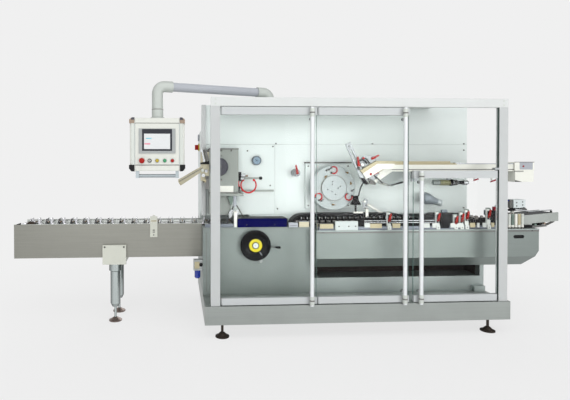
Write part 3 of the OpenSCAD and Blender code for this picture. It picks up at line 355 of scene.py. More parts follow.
# %% Paints, plastics, rubber and castings
SMOOTH = {  # colour, roughness, metal, variation, grain of the peel, shine
    "guard_white": ((213, 216, 215), 0.4, 0, 0.02, 260, 0.3),
    # The posts and door rails have the guard's white paint, given darker as painted shade.
    "post_white_shaded": ((195, 198, 198), 0.4, 0, 0.02, 260, 0.3),
    "rail_white_shaded": ((196, 200, 201), 0.4, 0, 0.02, 260, 0.3),
    "wall_white": ((226, 234, 232), 0.4, 0, 0.02, 260, 0.25),
    "panel_cream": ((220, 222, 215), 0.38, 0, 0.02, 300, 0.3),
    "block_cream": ((212, 214, 203), 0.38, 0, 0.02, 300, 0.3),
    "cream_paint": ((239, 240, 231), 0.38, 0, 0.02, 300, 0.3),
    "clamp_white": ((208, 212, 208), 0.38, 0, 0.03, 320, 0.3),
    "white_plastic": ((236, 236, 228), 0.34, 0, 0.03, 320, 0.5),
    "arm_grey": ((172, 176, 183), 0.36, 0, 0.03, 300, 0.3),
    "folder_grey": ((143, 148, 143), 0.42, 0.2, 0.05, 260, 0.3),
    "motor_grey": ((140, 149, 156), 0.38, 0.3, 0.05, 260, 0.3),
    "bezel_grey": ((162, 166, 166), 0.42, 0, 0.03, 360, 0.5),
    "bezel_dark": ((104, 114, 122), 0.34, 0.4, 0.05, 300, 0.5),
    "seam_grey": ((196, 203, 202), 0.5, 0, 0.02, 300, 0.2),
    "line_grey": ((112, 112, 110), 0.5, 0, 0.05, 300, 0.5),
    "line_beige": ((184, 174, 142), 0.5, 0, 0.05, 300, 0.5),
    "chain_grey": ((132, 128, 124), 0.34, 0.9, 0.08, 300, 0.5),
    "cup_grey": ((58, 57, 68), 0.4, 0, 0.05, 300, 0.5),
    "screen_dark": ((40, 42, 50), 0.3, 0, 0.04, 300, 0.2),
    # The bay's near-black is painted shade of the recess under the trough.
    "bay_painted_shade": ((38, 30, 28), 0.6, 0, 0.12, 160, 0.1),
    "gloss_black": ((11, 11, 14), 0.16, 0, 0.1, 220, 0.16),
    "cover_blue": ((7, 8, 68), 0.55, 0, 0.06, 240, 0.02),
    "lever_red": ((164, 29, 22), 0.36, 0, 0.06, 240, 0.2),
    "hose_red": ((200, 22, 34), 0.34, 0, 0.05, 240, 0.2),
    "deep_red": ((146, 20, 40), 0.36, 0, 0.05, 240, 0.2),
    "warm_yellow": ((206, 192, 16), 0.32, 0, 0.05, 240, 0.5),
    "button_yellow": ((178, 154, 26), 0.3, 0, 0.04, 300, 0.5),
    "mark_cyan": ((80, 190, 210), 0.3, 0, 0.03, 300, 0.5),
    "mark_pink": ((226, 130, 150), 0.3, 0, 0.03, 300, 0.5),
    "olive_paint": ((128, 128, 92), 0.36, 0.3, 0.06, 300, 0.5),
    "bracket_green": ((104, 120, 112), 0.36, 0.3, 0.06, 300, 0.5),
    "seal_green": ((66, 78, 75), 0.5, 0, 0.05, 300, 0.2),
    "edge_green": ((92, 122, 116), 0.3, 0, 0.03, 300, 0.5),
    "cap_bronze": ((146, 128, 112), 0.4, 0.3, 0.06, 300, 0.5),
    "pad_brown": ((126, 112, 106), 0.3, 0.7, 0.08, 260, 0.5),
    "brass": ((138, 108, 48), 0.34, 0.9, 0.1, 200, 0.5)}
for name, row in SMOOTH.items():
    finish(name, *row[:4], None, *row[4:])
print("smooth finishes", len(SMOOTH))

# %% Finishes with something of their own
finish("drum_grey", (184, 193, 193), 0.44, 0, 0.05, peel=240, shine=0.2, cloud_size=40.0)
finish("matt_black", (22, 22, 24), 0.5, 0, 0.15, peel=200, shine=0.2, bump=0.3)
finish("cast_iron", (58, 50, 44), 0.55, 0.6, 0.15, peel=300, bump=0.5)
finish("belt_beige", (196, 196, 178), 0.6, 0, 0.07, peel=700, bump=0.5)
finish("belt_dark", (58, 60, 62), 0.62, 0, 0.12, peel=700, bump=0.5)
finish("bowl_blue", (28, 52, 150), 0.2, 0, 0.06, peel=240, coat=0.4)
finish("dial_blue", (126, 152, 172), 0.3, 0, 0.03, peel=300, coat=0.3)
finish("button_green", (24, 142, 84), 0.26, 0, 0.04, peel=300, coat=0.3)
finish("screen_white", (212, 215, 216), 0.22, 0, 0.02, peel=300, coat=0.3)
finish("elbow_grey", (190, 196, 191), 0.36, 0, 0.03, peel=300, flank_shade=0.2)
finish("bar_white", (234, 237, 239), 0.3, 0, 0.02, peel=300, shine=0.4, flank_shade=0.35)
print("finishes", len(FINISHES))

# %% Clear doors
FINISHES["clear_panel"], tree, bsdf = new_material("clear_panel", {
    "Base Color": (0.985, 0.998, 0.992, 1.0), "Transmission Weight": 1.0, "IOR": 1.12})
wiped = place_effect(tree, CLOUDS, Size=5.0)
feed(tree, bsdf, {"Roughness": remap(tree, wiped, 0.0, 0.03)})
through = add(tree, "BsdfTransparent")
shadow_ray = add(tree, "LightPath").outputs["Is Shadow Ray"]
pick = add(tree, "MixShader", {"Fac": shadow_ray, 1: bsdf.outputs[0], 2: through.outputs[0]})
feed(tree, tree.nodes["Material Output"], {"Surface": pick.outputs[0]})
print("clear doors made")

# %% [markdown]
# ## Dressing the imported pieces
# Real sheet and castings never have knife edges. A Weld and a Bevel modifier soften the packed
# meshes without touching their points, and the angle limit leaves round faces alone. Small and
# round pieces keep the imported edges.

# %% Dress the nodes
SOFT_EDGE, WELD_REACH, EDGE_ANGLE = 0.0015, 0.00002, math.radians(35)
SOFTENED = {  # finish and the nodes that have it
    "plinth_sheet": "base_plinth", "cabinet_sheet": "drive_cabinet carton_trough",
    "low_sheet": "lower_panel", "infeed_sheet": "infeed_panels infeed_floor",
    "satin_sheet": "rear_panels discharge_frame", "post_white_shaded": "guard_posts",
    "guard_white": "top_beam roof_panel", "wall_white": "wall_panels rear_housing feeder_plate",
    "cream_paint": "magazine_bed arm_base", "block_cream": "infeed_leg_block sensor_bracket",
    "panel_cream": "hmi_box", "arm_grey": "arm_tube", "folder_grey": "leaflet_folder",
    "motor_grey": "folder_motor", "cover_blue": "blue_cover",
    "rail_white_shaded": "left_door_rails middle_door_rails right_door_rails"}
PLAIN = {
    # The machine bed's near-black finish is painted shade of its recess.
    "cast_iron": "machine_feet", "bay_painted_shade": "machine_bed", "warm_yellow": "main_switch",
    "arm_steel": "door_pivots shaft_clamp magazine_brackets magazine_arm",
    "dark_steel": "carton_chain", "belt_beige": "magazine_belt", "belt_dark": "discharge_belt",
    "rail_steel": "chain_rails", "matt_black": "chain_hood carton_opener",
    "gloss_black": "handwheel", "clamp_white": "clamp_posts",
    "lever_red": "clamp_levers hmi_buttons", "hose_red": "folder_hose feeder_hoses",
    "tray_beige": "leaflet_tray", "bright_steel": "pressure_gauge bucket_floors bucket_walls",
    "chain_grey": "infeed_chain", "tube_steel": "infeed_legs", "bowl_blue": "air_unit",
    "white_plastic": "discharge_guides", "bezel_grey": "hmi_screen", "handle_grey": "hmi_handle",
    "clear_panel": "left_door_glass middle_door_glass right_door_glass", "drum_grey": "feeder_drum"}


def soften_edges(thing, width, angle):
    edge = thing.modifiers.new("soft edge", "BEVEL")
    edge.width = width
    edge.segments = 2
    edge.limit_method = "ANGLE"
    edge.angle_limit = angle
    edge.harden_normals = True
    return edge


dressed = 0
for table in (SOFTENED, PLAIN):
    for name, wearers in table.items():
        for thing in (nodes[node] for node in wearers.split()):
            thing.data.materials.clear()
            thing.data.materials.append(FINISHES[name])
            dressed += 1
            if table is SOFTENED:
                thing.modifiers.new("weld", "WELD").merge_threshold = WELD_REACH
                soften_edges(thing, SOFT_EDGE, EDGE_ANGLE)
print("dressed", dressed, "of", len(nodes))

# %% [markdown]
# ## Building fittings
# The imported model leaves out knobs, small clamps, screws and trim. Each could be an object of
# its own, but one mesh for a group of fittings is easier to keep in place. A small builder sets
# down blocks, cut plates, turned shapes and bent tubes in millimetres from a datum point, and a
# Bevel modifier breaks their edges. A datum counts from the plinth's left end, the guard's front
# and the floor.

# %% Fitting builder
MM = 0.001
START = Vector((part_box("base_plinth")[0].x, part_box("guard_posts")[0].y, 0.0))
HERE = (0, 0, 0)
BACKWARDS, FORWARDS, UPWARDS = (0, 1, 0), (0, -1, 0), (0, 0, 1)
RIGHTWARDS, LEFTWARDS, DOWNWARDS = (1, 0, 0), (-1, 0, 0), (0, 0, -1)
BLOCK_SIDES = ((0, 1, 3, 2), (4, 6, 7, 5), (0, 4, 5, 1), (2, 3, 7, 6), (0, 2, 6, 4), (1, 5, 7, 3))
FITTING_ANGLE = math.radians(40)


def measured(node):
    """A node's lowest and highest corner in millimetres."""
    low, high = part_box(node)
    return (low - START) / MM, (high - START) / MM


class Fitting:
    """Collects solids, each with its own finish, into one piece that rides on a body."""

    def __init__(self, name, body, slot, soften=0.8, at=HERE):
        self.name, self.body, self.slot, self.soften, self.at = name, body, slot, soften, Vector(at)
        self.bm = bmesh.new()
        self.finishes = []

    def coat(self, faces, look):
        """Gives faces the finish of that name."""
        if look not in self.finishes:
            self.finishes.append(look)
        for face in faces:
            face.material_index = self.finishes.index(look)
            face.smooth = True

    def block(self, x0, x1, y0, y1, z0, z1, look):
        verts = [self.bm.verts.new((x, y, z)) for x in (x0, x1) for y in (y0, y1) for z in (z0, z1)]
        self.coat([self.bm.faces.new([verts[i] for i in side]) for side in BLOCK_SIDES], look)

    def blocks(self, *rows):
        """Boxes, each given from and to in x, y and z, and its finish."""
        for row in rows:
            self.block(*row)

    def plates(self, *rows):
        """Plates, each given by its outline, from and to in y, and its finish."""
        for row in rows:
            self.plate(*row)

    def plate(self, outline, low, high, look, axis="y"):
        """A flat outline drawn out along an axis. Its points give the two other measures."""
        order = {"x": (2, 0, 1), "y": (0, 2, 1)}[axis]
        rows = [[self.bm.verts.new([(*p, depth)[i] for i in order]) for p in outline]
                for depth in (low, high)]
        faces = [self.bm.faces.new(rows[0]), self.bm.faces.new(rows[1][::-1])]
        for a in range(len(outline)):
            b = (a + 1) % len(outline)
            faces.append(self.bm.faces.new((rows[0][b], rows[0][a], rows[1][a], rows[1][b])))
        self.coat(faces, look)

    def rings(self, rings, look):
        """Joins rings of points into a skin. A ring of one point closes it to a tip."""
        rows = [[self.bm.verts.new(p) for p in ring] for ring in rings]
        if rings[0] == rings[-1]:
            for spare in rows.pop():
                self.bm.verts.remove(spare)
            rows.append(rows[0])
        sides = max(len(row) for row in rows)
        faces = []
        for a, b in zip(rows, rows[1:]):
            for i in range(sides):
                j = (i + 1) % sides
                corners = (a[i % len(a)], a[j % len(a)], b[j % len(b)], b[i % len(b)])
                faces.append(self.bm.faces.new(list(dict.fromkeys(corners))))
        self.coat(faces, look)

    def turned(self, profile, spot, look, axis=FORWARDS, sides=32):
        """A profile of (radius, distance) pairs, turned round an axis. It gets flat ends, unless
        it closes on itself or runs to the axis."""
        (first_r, first), (last_r, last) = profile[0], profile[-1]
        if profile[0] != profile[-1]:
            profile = [(0, first)] * bool(first_r) + profile + [(0, last)] * bool(last_r)
        aim = Vector(axis).to_track_quat("Z", "Y")
        turns = full_circle(sides)
        rings = []
        for radius, along in profile:
            circle = [(radius * math.cos(t), radius * math.sin(t), along) for t in turns]
            points = circle if radius else circle[:1]
            rings.append([Vector(spot) + aim @ Vector(p) for p in points])
        self.rings(rings, look)

    def rod(self, start, end, radius, look, end_radius=None, sides=24):
        """A round bar between two points, plain or tapered."""
        way = Vector(end) - Vector(start)
        self.turned([(radius, 0), (end_radius or radius, way.length)], start, look, way, sides)

    def pin(self, x, z, front, back, radius, look, sides=24):
        """A round bar from front to back."""
        self.rod((x, front, z), (x, back, z), radius, look, sides=sides)

    def tube(self, path, radius, look, sides=14):
        """A round bar bent along a path, with flat ends."""
        path = [Vector(p) for p in path]
        across = (path[1] - path[0]).orthogonal().normalized()
        turns = full_circle(sides)
        rings = [[path[0]]]
        for i, spot in enumerate(path):
            along = (path[min(i + 1, len(path) - 1)] - path[max(i - 1, 0)]).normalized()
            across = (across - along * across.dot(along)).normalized()
            other = along.cross(across)
            rings.append([spot + (across * math.cos(t) + other * math.sin(t)) * radius
                          for t in turns])
        self.rings(rings + [[path[-1]]], look)

    def screw(self, spot, radius, axis=FORWARDS):
        """A round screw head with a sunk round socket."""
        shares = ((1, 0.5), (0.8, 0.75), (0.5, 0.75), (0.45, 0.2))
        head = [(radius, -1)] + [(radius * wide, radius * out) for wide, out in shares]
        self.turned(head, spot, "dark_steel", axis, 18)

    def done(self, *stands_for):
        bmesh.ops.recalc_face_normals(self.bm, faces=self.bm.faces)
        self.bm.transform(Matrix.Translation(START + self.at * MM) @ Matrix.Scale(MM, 4))
        mesh = bpy.data.meshes.new(self.name)
        self.bm.to_mesh(mesh)
        self.bm.free()
        for look in self.finishes:
            mesh.materials.append(FINISHES[look])
        piece = bpy.data.objects.new(self.name, mesh)
        scene.collection.objects.link(piece)
        if self.soften:
            soften_edges(piece, self.soften * MM, FITTING_ANGLE).use_clamp_overlap = False
        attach(piece, self.body)
        if stands_for:
            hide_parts(*stands_for)
        print(self.name, len(mesh.polygons), "faces on", self.body)


# %% Outlines
def arc(centre, radius, first, last, steps):
    """Points on an arc, as pairs, with angles in degrees."""
    turns = [math.radians(first + (last - first) * i / steps) for i in range(steps + 1)]
    return [(centre[0] + radius * math.cos(t), centre[1] + radius * math.sin(t)) for t in turns]


def stadium(x0, x1, z, radius, steps=8):
    """An outline with round ends between two points on a level line."""
    return arc((x1, z), radius, -90, 90, steps) + arc((x0, z), radius, 90, 270, steps)


def ring(inner, outer, start, end):
    """The profile of a plain ring."""
    return [(inner, start), (outer, start), (outer, end), (inner, end), (inner, start)]


def around(radius, degrees, out):
    """A point at a radius and an angle, seen from the front, and some way out of the face."""
    turn = math.radians(degrees)
    return Vector((radius * math.cos(turn), -out, radius * math.sin(turn)))


print("outlines ready")

# %% [markdown]
# ## Operator panel
# The panel is a pale box of pressed sheet between corner profiles, with a touch screen in a
# grey bezel and a row of push buttons. The screen could be a picture, but plain raised fields
# are enough at this size and stay free of any wording.

# %% Panel case
CASE_MARGIN, NECK_RISE, TOP_BAND, LOW_BAND = 40, 72, 38, 43
case_low, case_high = measured("hmi_box")
bottom, case_top = case_low.z, case_high.z - NECK_RISE
top_line, low_line = case_top - TOP_BAND, bottom + LOW_BAND
left, right = case_low.x + CASE_MARGIN, case_high.x - CASE_MARGIN
deep = case_high.y - case_low.y
case = Fitting("panel_case_trim", "hmi_panel", "cream_paint", at=(0, case_low.y, 0))
case.blocks(
    (left, right, -3, 1, low_line + 3, top_line - 2, "panel_cream"),
    (left, right, -3, 1, bottom + 4, low_line - 3, "panel_cream"),
    (left, right, -3, 1, top_line + 2, case_top - 3, "panel_cream"),
    (left - 1, right + 1, -1.4, 1, top_line - 2, top_line + 2, "dark_steel"),
    (left - 1, right + 1, -1.2, 1, low_line - 3, low_line + 3, "line_grey"))
foot = [(-5, low_line + 2), (34, low_line + 2), (34, bottom - 3), (14, bottom - 3),
        (-5, bottom + 18)]
cap = [(-3, top_line - 1), (34, top_line - 1), (34, case_top + 3), (16, case_top + 3),
       (-3, case_top - 12)]
peak = [(8, case_top - 14), (34, case_top - 14), (34, case_top + 4), (16, case_top + 4)]
CORNERS = (  # outline, front, back, finish
    (foot, -6, deep + 4, "matt_black"), (cap, -5, 30, "cap_bronze"),
    (peak, -6, 31, "cup_grey"), (cap, deep - 30, deep + 3, "cap_bronze"))
for side, edge_x in ((1, case_low.x), (-1, case_high.x)):
    case.block(edge_x + side * 35, edge_x + side * 40, -1, 1, low_line, top_line, "seam_grey")
    case.block(edge_x + side * 12, edge_x + side * 33, -2.5, 6, low_line, top_line, "profile_grey")
    for outline, front, back, colour in CORNERS:
        case.plate([(edge_x + side * x, z) for x, z in outline], front, back, colour)
case.done()

# %% Touch screen
screen_low, screen_high = measured("hmi_screen")
wide, deep, tall = screen_high - screen_low
display = Fitting("touch_screen", "hmi_panel", "screen_grey", 0.5, screen_low)
display.blocks(
    (0, wide, 0, deep, 0, tall, "bezel_grey"),
    (24, wide - 24, -2, 1, 18, tall - 3, "screen_dark"),
    (38, wide - 38, -3, 0, 31, tall - 37, "screen_white"),
    (52, 92, -4.2, -2, 105, 111, "mark_cyan"),
    (41, 83, -4.2, -2, 64, 73, "mark_pink"))
display.done("hmi_screen")

# %% Buttons
button_low, button_high = measured("hmi_buttons")
STOP_R, LAST_R, COLLAR_R, CAP_R, CAP_H = 20, 14, 15, 12, 13
gap = (button_high.x - button_low.x - STOP_R - LAST_R) / 4
stop_at = (button_low.x + STOP_R, button_high.y - 2, (button_low.z + button_high.z) / 2)
controls = Fitting("panel_buttons", "hmi_panel", "button_red", 0.6, stop_at)
mushroom = [(14, 0), (14, 12), (STOP_R, 15), (STOP_R, 21), (15, 26), (0, 27.5)]
controls.turned(mushroom, HERE, "lever_red")
controls.turned([(COLLAR_R, 0), (COLLAR_R, 5), (11, 8), (11, 12)], (gap, 0, 0), "dark_steel")
controls.turned([(8, 11), (8, 14)], (gap, 0, 0), "clamp_white")
controls.block(gap - 1.5, gap + 1.5, -16, -13, -6, 6, "matt_black")
for i, colour in ((2, "button_yellow"), (3, "button_green"), (4, "lever_red")):
    controls.turned([(COLLAR_R, 0), (COLLAR_R, 5), (CAP_R + 1, 7)], (i * gap, 0, 0), "bezel_grey")
    controls.turned([(CAP_R, 6), (CAP_R, CAP_H - 2), (CAP_R - 3, CAP_H)], (i * gap, 0, 0), colour)
controls.done("hmi_buttons")

# %% [markdown]
# ## Swivel arm
# The arm is a plain tube between two cast elbows, which are thicker and a warmer grey. They are
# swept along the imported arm's own bends, and a collar closes each elbow round the tube.

# %% Arm elbows
ELBOW_R, TUBE_R, BEND_R, SOCKET, ARM_DROP, NECK_Y = 41.4, 34, 55, 58, 42, 73
base_low, base_high = measured("arm_base")
arm_z = measured("arm_tube")[1].z - ARM_DROP
neck = Vector(((case_low.x + case_high.x) / 2, case_low.y + NECK_Y, 0))
swivel = (base_low + base_high) / 2
swivel.z = 0
way = (swivel - neck).normalized()


def elbow_path(corner, inward, low_z):
    """Up a post at the corner, round the bend and a short way along the arm."""
    bend = arc((BEND_R, arm_z - BEND_R), BEND_R, 180, 90, 12)
    path = [corner + Vector((0, 0, low_z))]
    path += [corner + inward * x + Vector((0, 0, z)) for x, z in bend]
    return path + [path[-1] + inward * SOCKET]


swing = Fitting("swivel_arm", "hmi_arm", "arm_paint", 1.0)
ends = []
for corner, inward, low_z in ((neck, way, case_high.z + 1), (swivel, -way, base_low.z + 9)):
    path = elbow_path(corner, inward, low_z)
    swing.tube(path, ELBOW_R, "elbow_grey", 32)
    swing.rod(path[-1] - inward * 9, path[-1] + inward, ELBOW_R + 0.5, "elbow_grey", sides=32)
    ends.append(path[-1])
swing.rod(ends[0] - way * 5, ends[1] + way * 5, TUBE_R, "arm_grey", sides=32)
swing.done("arm_tube")

# %% Panel neck
NECK_R, JOINT_GAP = ELBOW_R + 1.2, 1.5
sleeve = Fitting("panel_neck_sleeve", "hmi_panel", "cream_paint", 0.8, (neck.x, neck.y, case_top))
flange = [(54, 1), (54, 7), (46, 12), (NECK_R, 14), (NECK_R, NECK_RISE - JOINT_GAP)]
sleeve.turned(flange, HERE, "elbow_grey", UPWARDS)
joint = ring(ELBOW_R - 3, NECK_R + 0.4, NECK_RISE - 7, NECK_RISE - 2)
sleeve.turned(joint, HERE, "line_grey", UPWARDS)
sleeve.done()

# %% [markdown]
# ## Handwheel
# The wheel turns the whole machine by hand. It is one glossy black moulding with a yellow ring
# and a pale cap on its hub, so a turned profile for each colour gives it, and a thin steel crank
# with a tapered grip stands out from its rim.

# %% Handwheel
wheel_low, wheel_high = measured("handwheel")
WHEEL_R, HUB_R, RIM_R, WHEEL_DEPTH = 124, 54, 13, 46
CRANK_REACH, CRANK_OUT, CRANK_TURN, INDEX_TURN = 205, 37, -5, -57
wheel_z = (wheel_low.z + wheel_high.z) / 2
wheel_at = Vector((wheel_low.x + WHEEL_R, wheel_low.y + WHEEL_DEPTH, wheel_z))
wheel = Fitting("handwheel_dish", "handwheel", "wheel_black", 0.6, wheel_at)
rim = arc((WHEEL_R - RIM_R, 33), RIM_R, -60, 150, 12)
dish = [(30, 0), (30, 8), (WHEEL_R - 26, 18)] + rim
dish += [(90, 33), (74, 27), (60, 25), (HUB_R + 1, 26), (HUB_R, 33)]
HUB_RINGS = (
    (dish, "gloss_black", 64),
    ([(28, 32), (HUB_R - 1, 32), (HUB_R - 1, 34), (HUB_R - 4, 35), (31, 35), (28, 34), (28, 32)],
     "warm_yellow", 48),
    ([(29, 32), (29, 35.2), (26, 35.6)], "matt_black", 48),
    ([(22, 34), (22, 36.6), (20, 37.4), (0, 37.7)], "clamp_white", 48),
    ([(4, 36), (4, 38.2)], "bezel_grey", 18))
for profile, colour, sides in HUB_RINGS:
    wheel.turned(profile, HERE, colour, sides=sides)
wheel.rod(HERE, (0, wheel_high.y - wheel_at.y, 0), 13.5, "bright_steel")
wheel.rod(around(62, INDEX_TURN, 25.6), around(96, INDEX_TURN, 34.6), 2.2, "arm_grey", sides=10)
crank = [around(r, CRANK_TURN, CRANK_OUT) for r in (WHEEL_R - 24, WHEEL_R + 36)]
wheel.rod(*crank, 4.2, "dark_steel")
GRIP_FROM = WHEEL_R + 34
grip_len = CRANK_REACH - 1 - GRIP_FROM
grip = [(5.5, 0), (7, 8), (11, grip_len - 12), (10.5, grip_len - 5), (7, grip_len - 1),
        (0, grip_len)]
grip_at = around(GRIP_FROM, CRANK_TURN, CRANK_OUT)
wheel.turned(grip, grip_at, "gloss_black", around(1, CRANK_TURN, 0))
wheel.done("handwheel")

# %% Index plunger
cabinet_low, cabinet_high = measured("drive_cabinet")
deck_z = cabinet_high.z
PLUNGER_RIGHT, PLUNGER_DROP = 46, 134
plunger_at = (wheel_at.x + PLUNGER_RIGHT, cabinet_low.y, wheel_at.z - PLUNGER_DROP)
plunger = Fitting("wheel_index_plunger", "machine", "gauge_steel", 0.6, plunger_at)
knob = [(17, -1), (17, 4), (9, 6), (9, 16), (14, 18), (14, 28), (11, 31)]
plunger.turned(knob, HERE, "bezel_grey")
plunger.done()

# %% [markdown]
# ## Carton feeder
# The feeder's drum takes flat blanks from the magazine by vacuum. Its cap is a thin plate with
# bolt holes, and brass fittings join the red hoses on its face. Holes are shown by dark plugs
# that stand a hair proud, their black being painted shade inside the holes, because the imported
# drum itself may not be cut here.

# %% Drum fittings
drum_low, drum_high = measured("feeder_drum")
CAP_RADIUS, CAP_DEPTH = 106, 15
BOLT_HOLES = ((4, 56, 13), (3, 35, 118))  # count, radius, first angle
BRASS_PLACES = (  # radius, angle, lean
    (174, 47, 160), (152, 13, 100), (142, 267, 0), (118, 128, 40))
DARK_PLACES = (  # radius, angle, length
    (160, 112, 20), (160, 104, 16), (160, -9, 24), (150, 226, 22))
drum_at = ((drum_low.x + drum_high.x) / 2, drum_low.y, (drum_low.z + drum_high.z) / 2)
drum = Fitting("drum_fittings", "feeder_rotor", "drum_white", 0.4, drum_at)
lip = ring(CAP_RADIUS - 1.5, CAP_RADIUS + 2.2, -0.8, 4)
drum.turned(lip, HERE, "dark_steel", BACKWARDS, 64)
drum.turned(ring(CAP_RADIUS + 1, CAP_RADIUS + 7, 10, 16), HERE, "profile_grey", BACKWARDS, 64)
# The black plugs paint the shade inside the bolt holes.
for count, radius, first in BOLT_HOLES:
    for i in range(count):
        spot = around(radius, first + 360 * i / count, -1)
        drum.turned([(5.6, 0), (5.6, 1.6)], spot, "matt_black", sides=16)
for radius, degrees, lean in BRASS_PLACES:
    spot = around(radius, degrees, -CAP_DEPTH - 1)
    drum.turned([(8, 0), (8, 7), (5, 9), (5, 14)], spot, "brass", sides=6)
    drum.rod(spot + around(-6, lean, 9), spot + around(20, lean, 9), 4.6, "brass", 3.4, 12)
for radius, degrees, length in DARK_PLACES:
    spot = around(radius, degrees, -CAP_DEPTH - 1)
    drum.turned([(9, 0), (9, 5), (6, 6), (6, 12)], spot, "dark_steel", sides=16)
    stem = spot + Vector((0, -8, 0)), spot + Vector((length * 0.8, -8, length * 0.6))
    drum.rod(*stem, 3.6, "dark_steel", sides=12)
drum.done()

# %% Vacuum hoses
LOOP_AT, HOSE_LOOP_R, HOSE_R, LOOP_OPENING = 150, 29, 5, 48
HOSE_LOOPS = ((90, 180), (210, 235), (330, 65))  # place on the drum, angle of the opening
hoses = Fitting("vacuum_hoses", "feeder_rotor", "lever_red", 0.4, drum_at)
for degrees, opening in HOSE_LOOPS:
    x, y, z = around(LOOP_AT, degrees, HOSE_R - CAP_DEPTH)
    bow = arc((x, z), HOSE_LOOP_R, opening + LOOP_OPENING, opening + 360 - LOOP_OPENING, 28)
    hoses.tube([(x, y, z) for x, z in bow], HOSE_R, "hose_red")
    for x, z in (bow[0], bow[-1]):
        hoses.turned([(8, -5.5), (8, 2), (6, 5), (0, 6)], (x, y, z), "dark_steel", sides=16)
hoses.done("feeder_hoses")

# %% Feeder plate edge
plate_low, plate_high = measured("feeder_plate")
wide, deep, tall = plate_high - plate_low
ledge = Fitting("feeder_plate_edge", "machine", "pivot_steel", 0.5, plate_low)
ledge.block(-6, wide + 2, -2, deep - 1, tall - 9, tall + 1, "dark_steel")
for x in (24, wide - 24):
    for z in (24, tall - 34):
        ledge.screw((x, deep - 20, z), 6)
ledge.done()

# %% [markdown]
# ## Carton opener
# A black bell on a rod holds the carton open, a bent rod runs down to it from the magazine, and
# a white blade leads the carton on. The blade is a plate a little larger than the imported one.

# %% Opener fittings
opener_low, opener_high = measured("carton_opener")
hood_low, hood_high = measured("chain_hood")
BELL_R, BLADE_H, BLADE_W, BLADE_LEN, ROD_R = 42, 95, 30, 185, 5
bell_at = (opener_low.x + BELL_R, opener_low.y + BELL_R, 0)
bell_z, hood_z, hood_y = opener_high.z, hood_high.z, hood_low.y - bell_at[1]
tail = opener_high.x - bell_at[0]
opener = Fitting("opener_fittings", "machine", "black_cover", 0.6, bell_at)
blade_x, blade_z = tail - BLADE_LEN, hood_z + BLADE_H + 1
blade = [(blade_x - 1, blade_z), (blade_x + BLADE_W + 1, blade_z),
         (tail + 2, hood_z + 0.5), (tail - BLADE_W - 2, hood_z + 0.5)]
opener.plate(blade, 19, 37, "white_plastic")
guide_bow = ((82, 126), (62, 104), (45, 74), (34, 40), (27, 6), (16, -12))
opener.tube([(x, 0, bell_z + z) for x, z in guide_bow], ROD_R, "matt_black")
bracket = [(52, 1000), (82, 1034), (104, 1016), (92, 958), (64, 950)]
opener.plate(bracket, -8, 0, "arm_steel")
opener.pin(74, 1006, -14, 14, 9, "white_plastic")
opener.pin(86, 976, -16, 10, 6, "dark_steel")
opener.blocks(
    (76, 98, hood_y - 12, hood_y, hood_z - 32, 952, "white_plastic"),
    (76, 98, hood_y - 12, 6, 944, 956, "white_plastic"),
    (-20, 60, -12, 12, hood_z, hood_z + 14, "white_plastic"))
opener.done()

# %% [markdown]
# ## Magazine mouth
# Blanks slide down to the feeder between stops that are set by hand. The clamps, knobs and bolts
# on the slotted arm are small turned and cut pieces, so they are gathered in one fitting.

# %% Mouth clamps
bed_low, bed_high = measured("magazine_bed")
mouth_y = measured("magazine_arm")[0].y
BED_INSET, BED_T, END_LEN, CAP_RISE = 10, 64, 160, 11
bed_y = bed_low.y - mouth_y
mouth = Fitting("mouth_clamps", "machine", "pivot_steel", 0.7, (0, mouth_y, 0))
big_knob = [(24, 0), (24, 6), (20, 8), (21, 16), (16, 23), (8, 26), (0, 27)]
MOUTH_KNOBS = (  # profile, place, finish, sides
    (big_knob, (1282, 13, 1312), "bright_steel", 32),
    ([(9, 0), (9, 9), (6, 12)], (1290, 4, 1366), "lever_red", 32),
    ([(10, 0), (10, 10), (6, 14)], (1344, -9, 1238), "lever_red", 32),
    ([(7, 0), (7, 5)], (1172, 1, 1462), "dark_steel", 6),
    ([(13, 0), (13, 8), (8, 10), (8, 18)], (1250, 1, 1284), "dark_steel", 32))
for profile, spot, colour, sides in MOUTH_KNOBS:
    mouth.turned(profile, spot, colour, sides=sides)
mouth.tube([(x, 4, z) for x, z in arc((1284, 1314), 38, 15, 150, 10)], 5.5, "matt_black")
mouth.tube([(x, 4, z) for x, z in arc((1288, 1316), 54, 5, 70, 8)], 4.5, "dark_steel")
belt_edge = [(1260, 1267), (1395, 1344), (1545, 1342), (1545, 1322), (1403, 1322), (1284, 1243)]
cheek = [(1284, 1243), (1403, 1322), (1545, 1322), (1545, 1277), (1447, 1277), (1311, 1199)]
stop = [(1298, 1236), (1330, 1256), (1348, 1226), (1316, 1206)]
hinge = [(1268, 1212), (1298, 1204), (1322, 1178), (1338, 1158), (1312, 1152), (1284, 1176)]
latch = [(1330, 1206), (1364, 1196), (1400, 1164), (1390, 1150), (1350, 1160)]
mouth.plates(
    (stop, -17, 12, "white_plastic"), (belt_edge, -9, bed_y + 12, "line_beige"),
    (cheek, -10, bed_y + 12, "cream_paint"), (hinge, 0, 14, "matt_black"),
    (latch, 4, 20, "dark_steel"))
MOUTH_BOLTS = (  # x, z, radius
    (1392, 1222, 8), (1408, 1204, 9), (1430, 1186, 10), (1446, 1170, 7), (1424, 1240, 6))
for x, z, r in MOUTH_BOLTS:
    bolt = [(r, 0), (r, 7), (r * 0.7, 9), (r * 0.7, 20)]
    mouth.turned(bolt, (x, bed_y + 10, z), "bright_steel", sides=18)
mouth.rod((1386, bed_y - 8, 1226), (1454, bed_y - 8, 1164), 5, "dark_steel")
mouth.done()

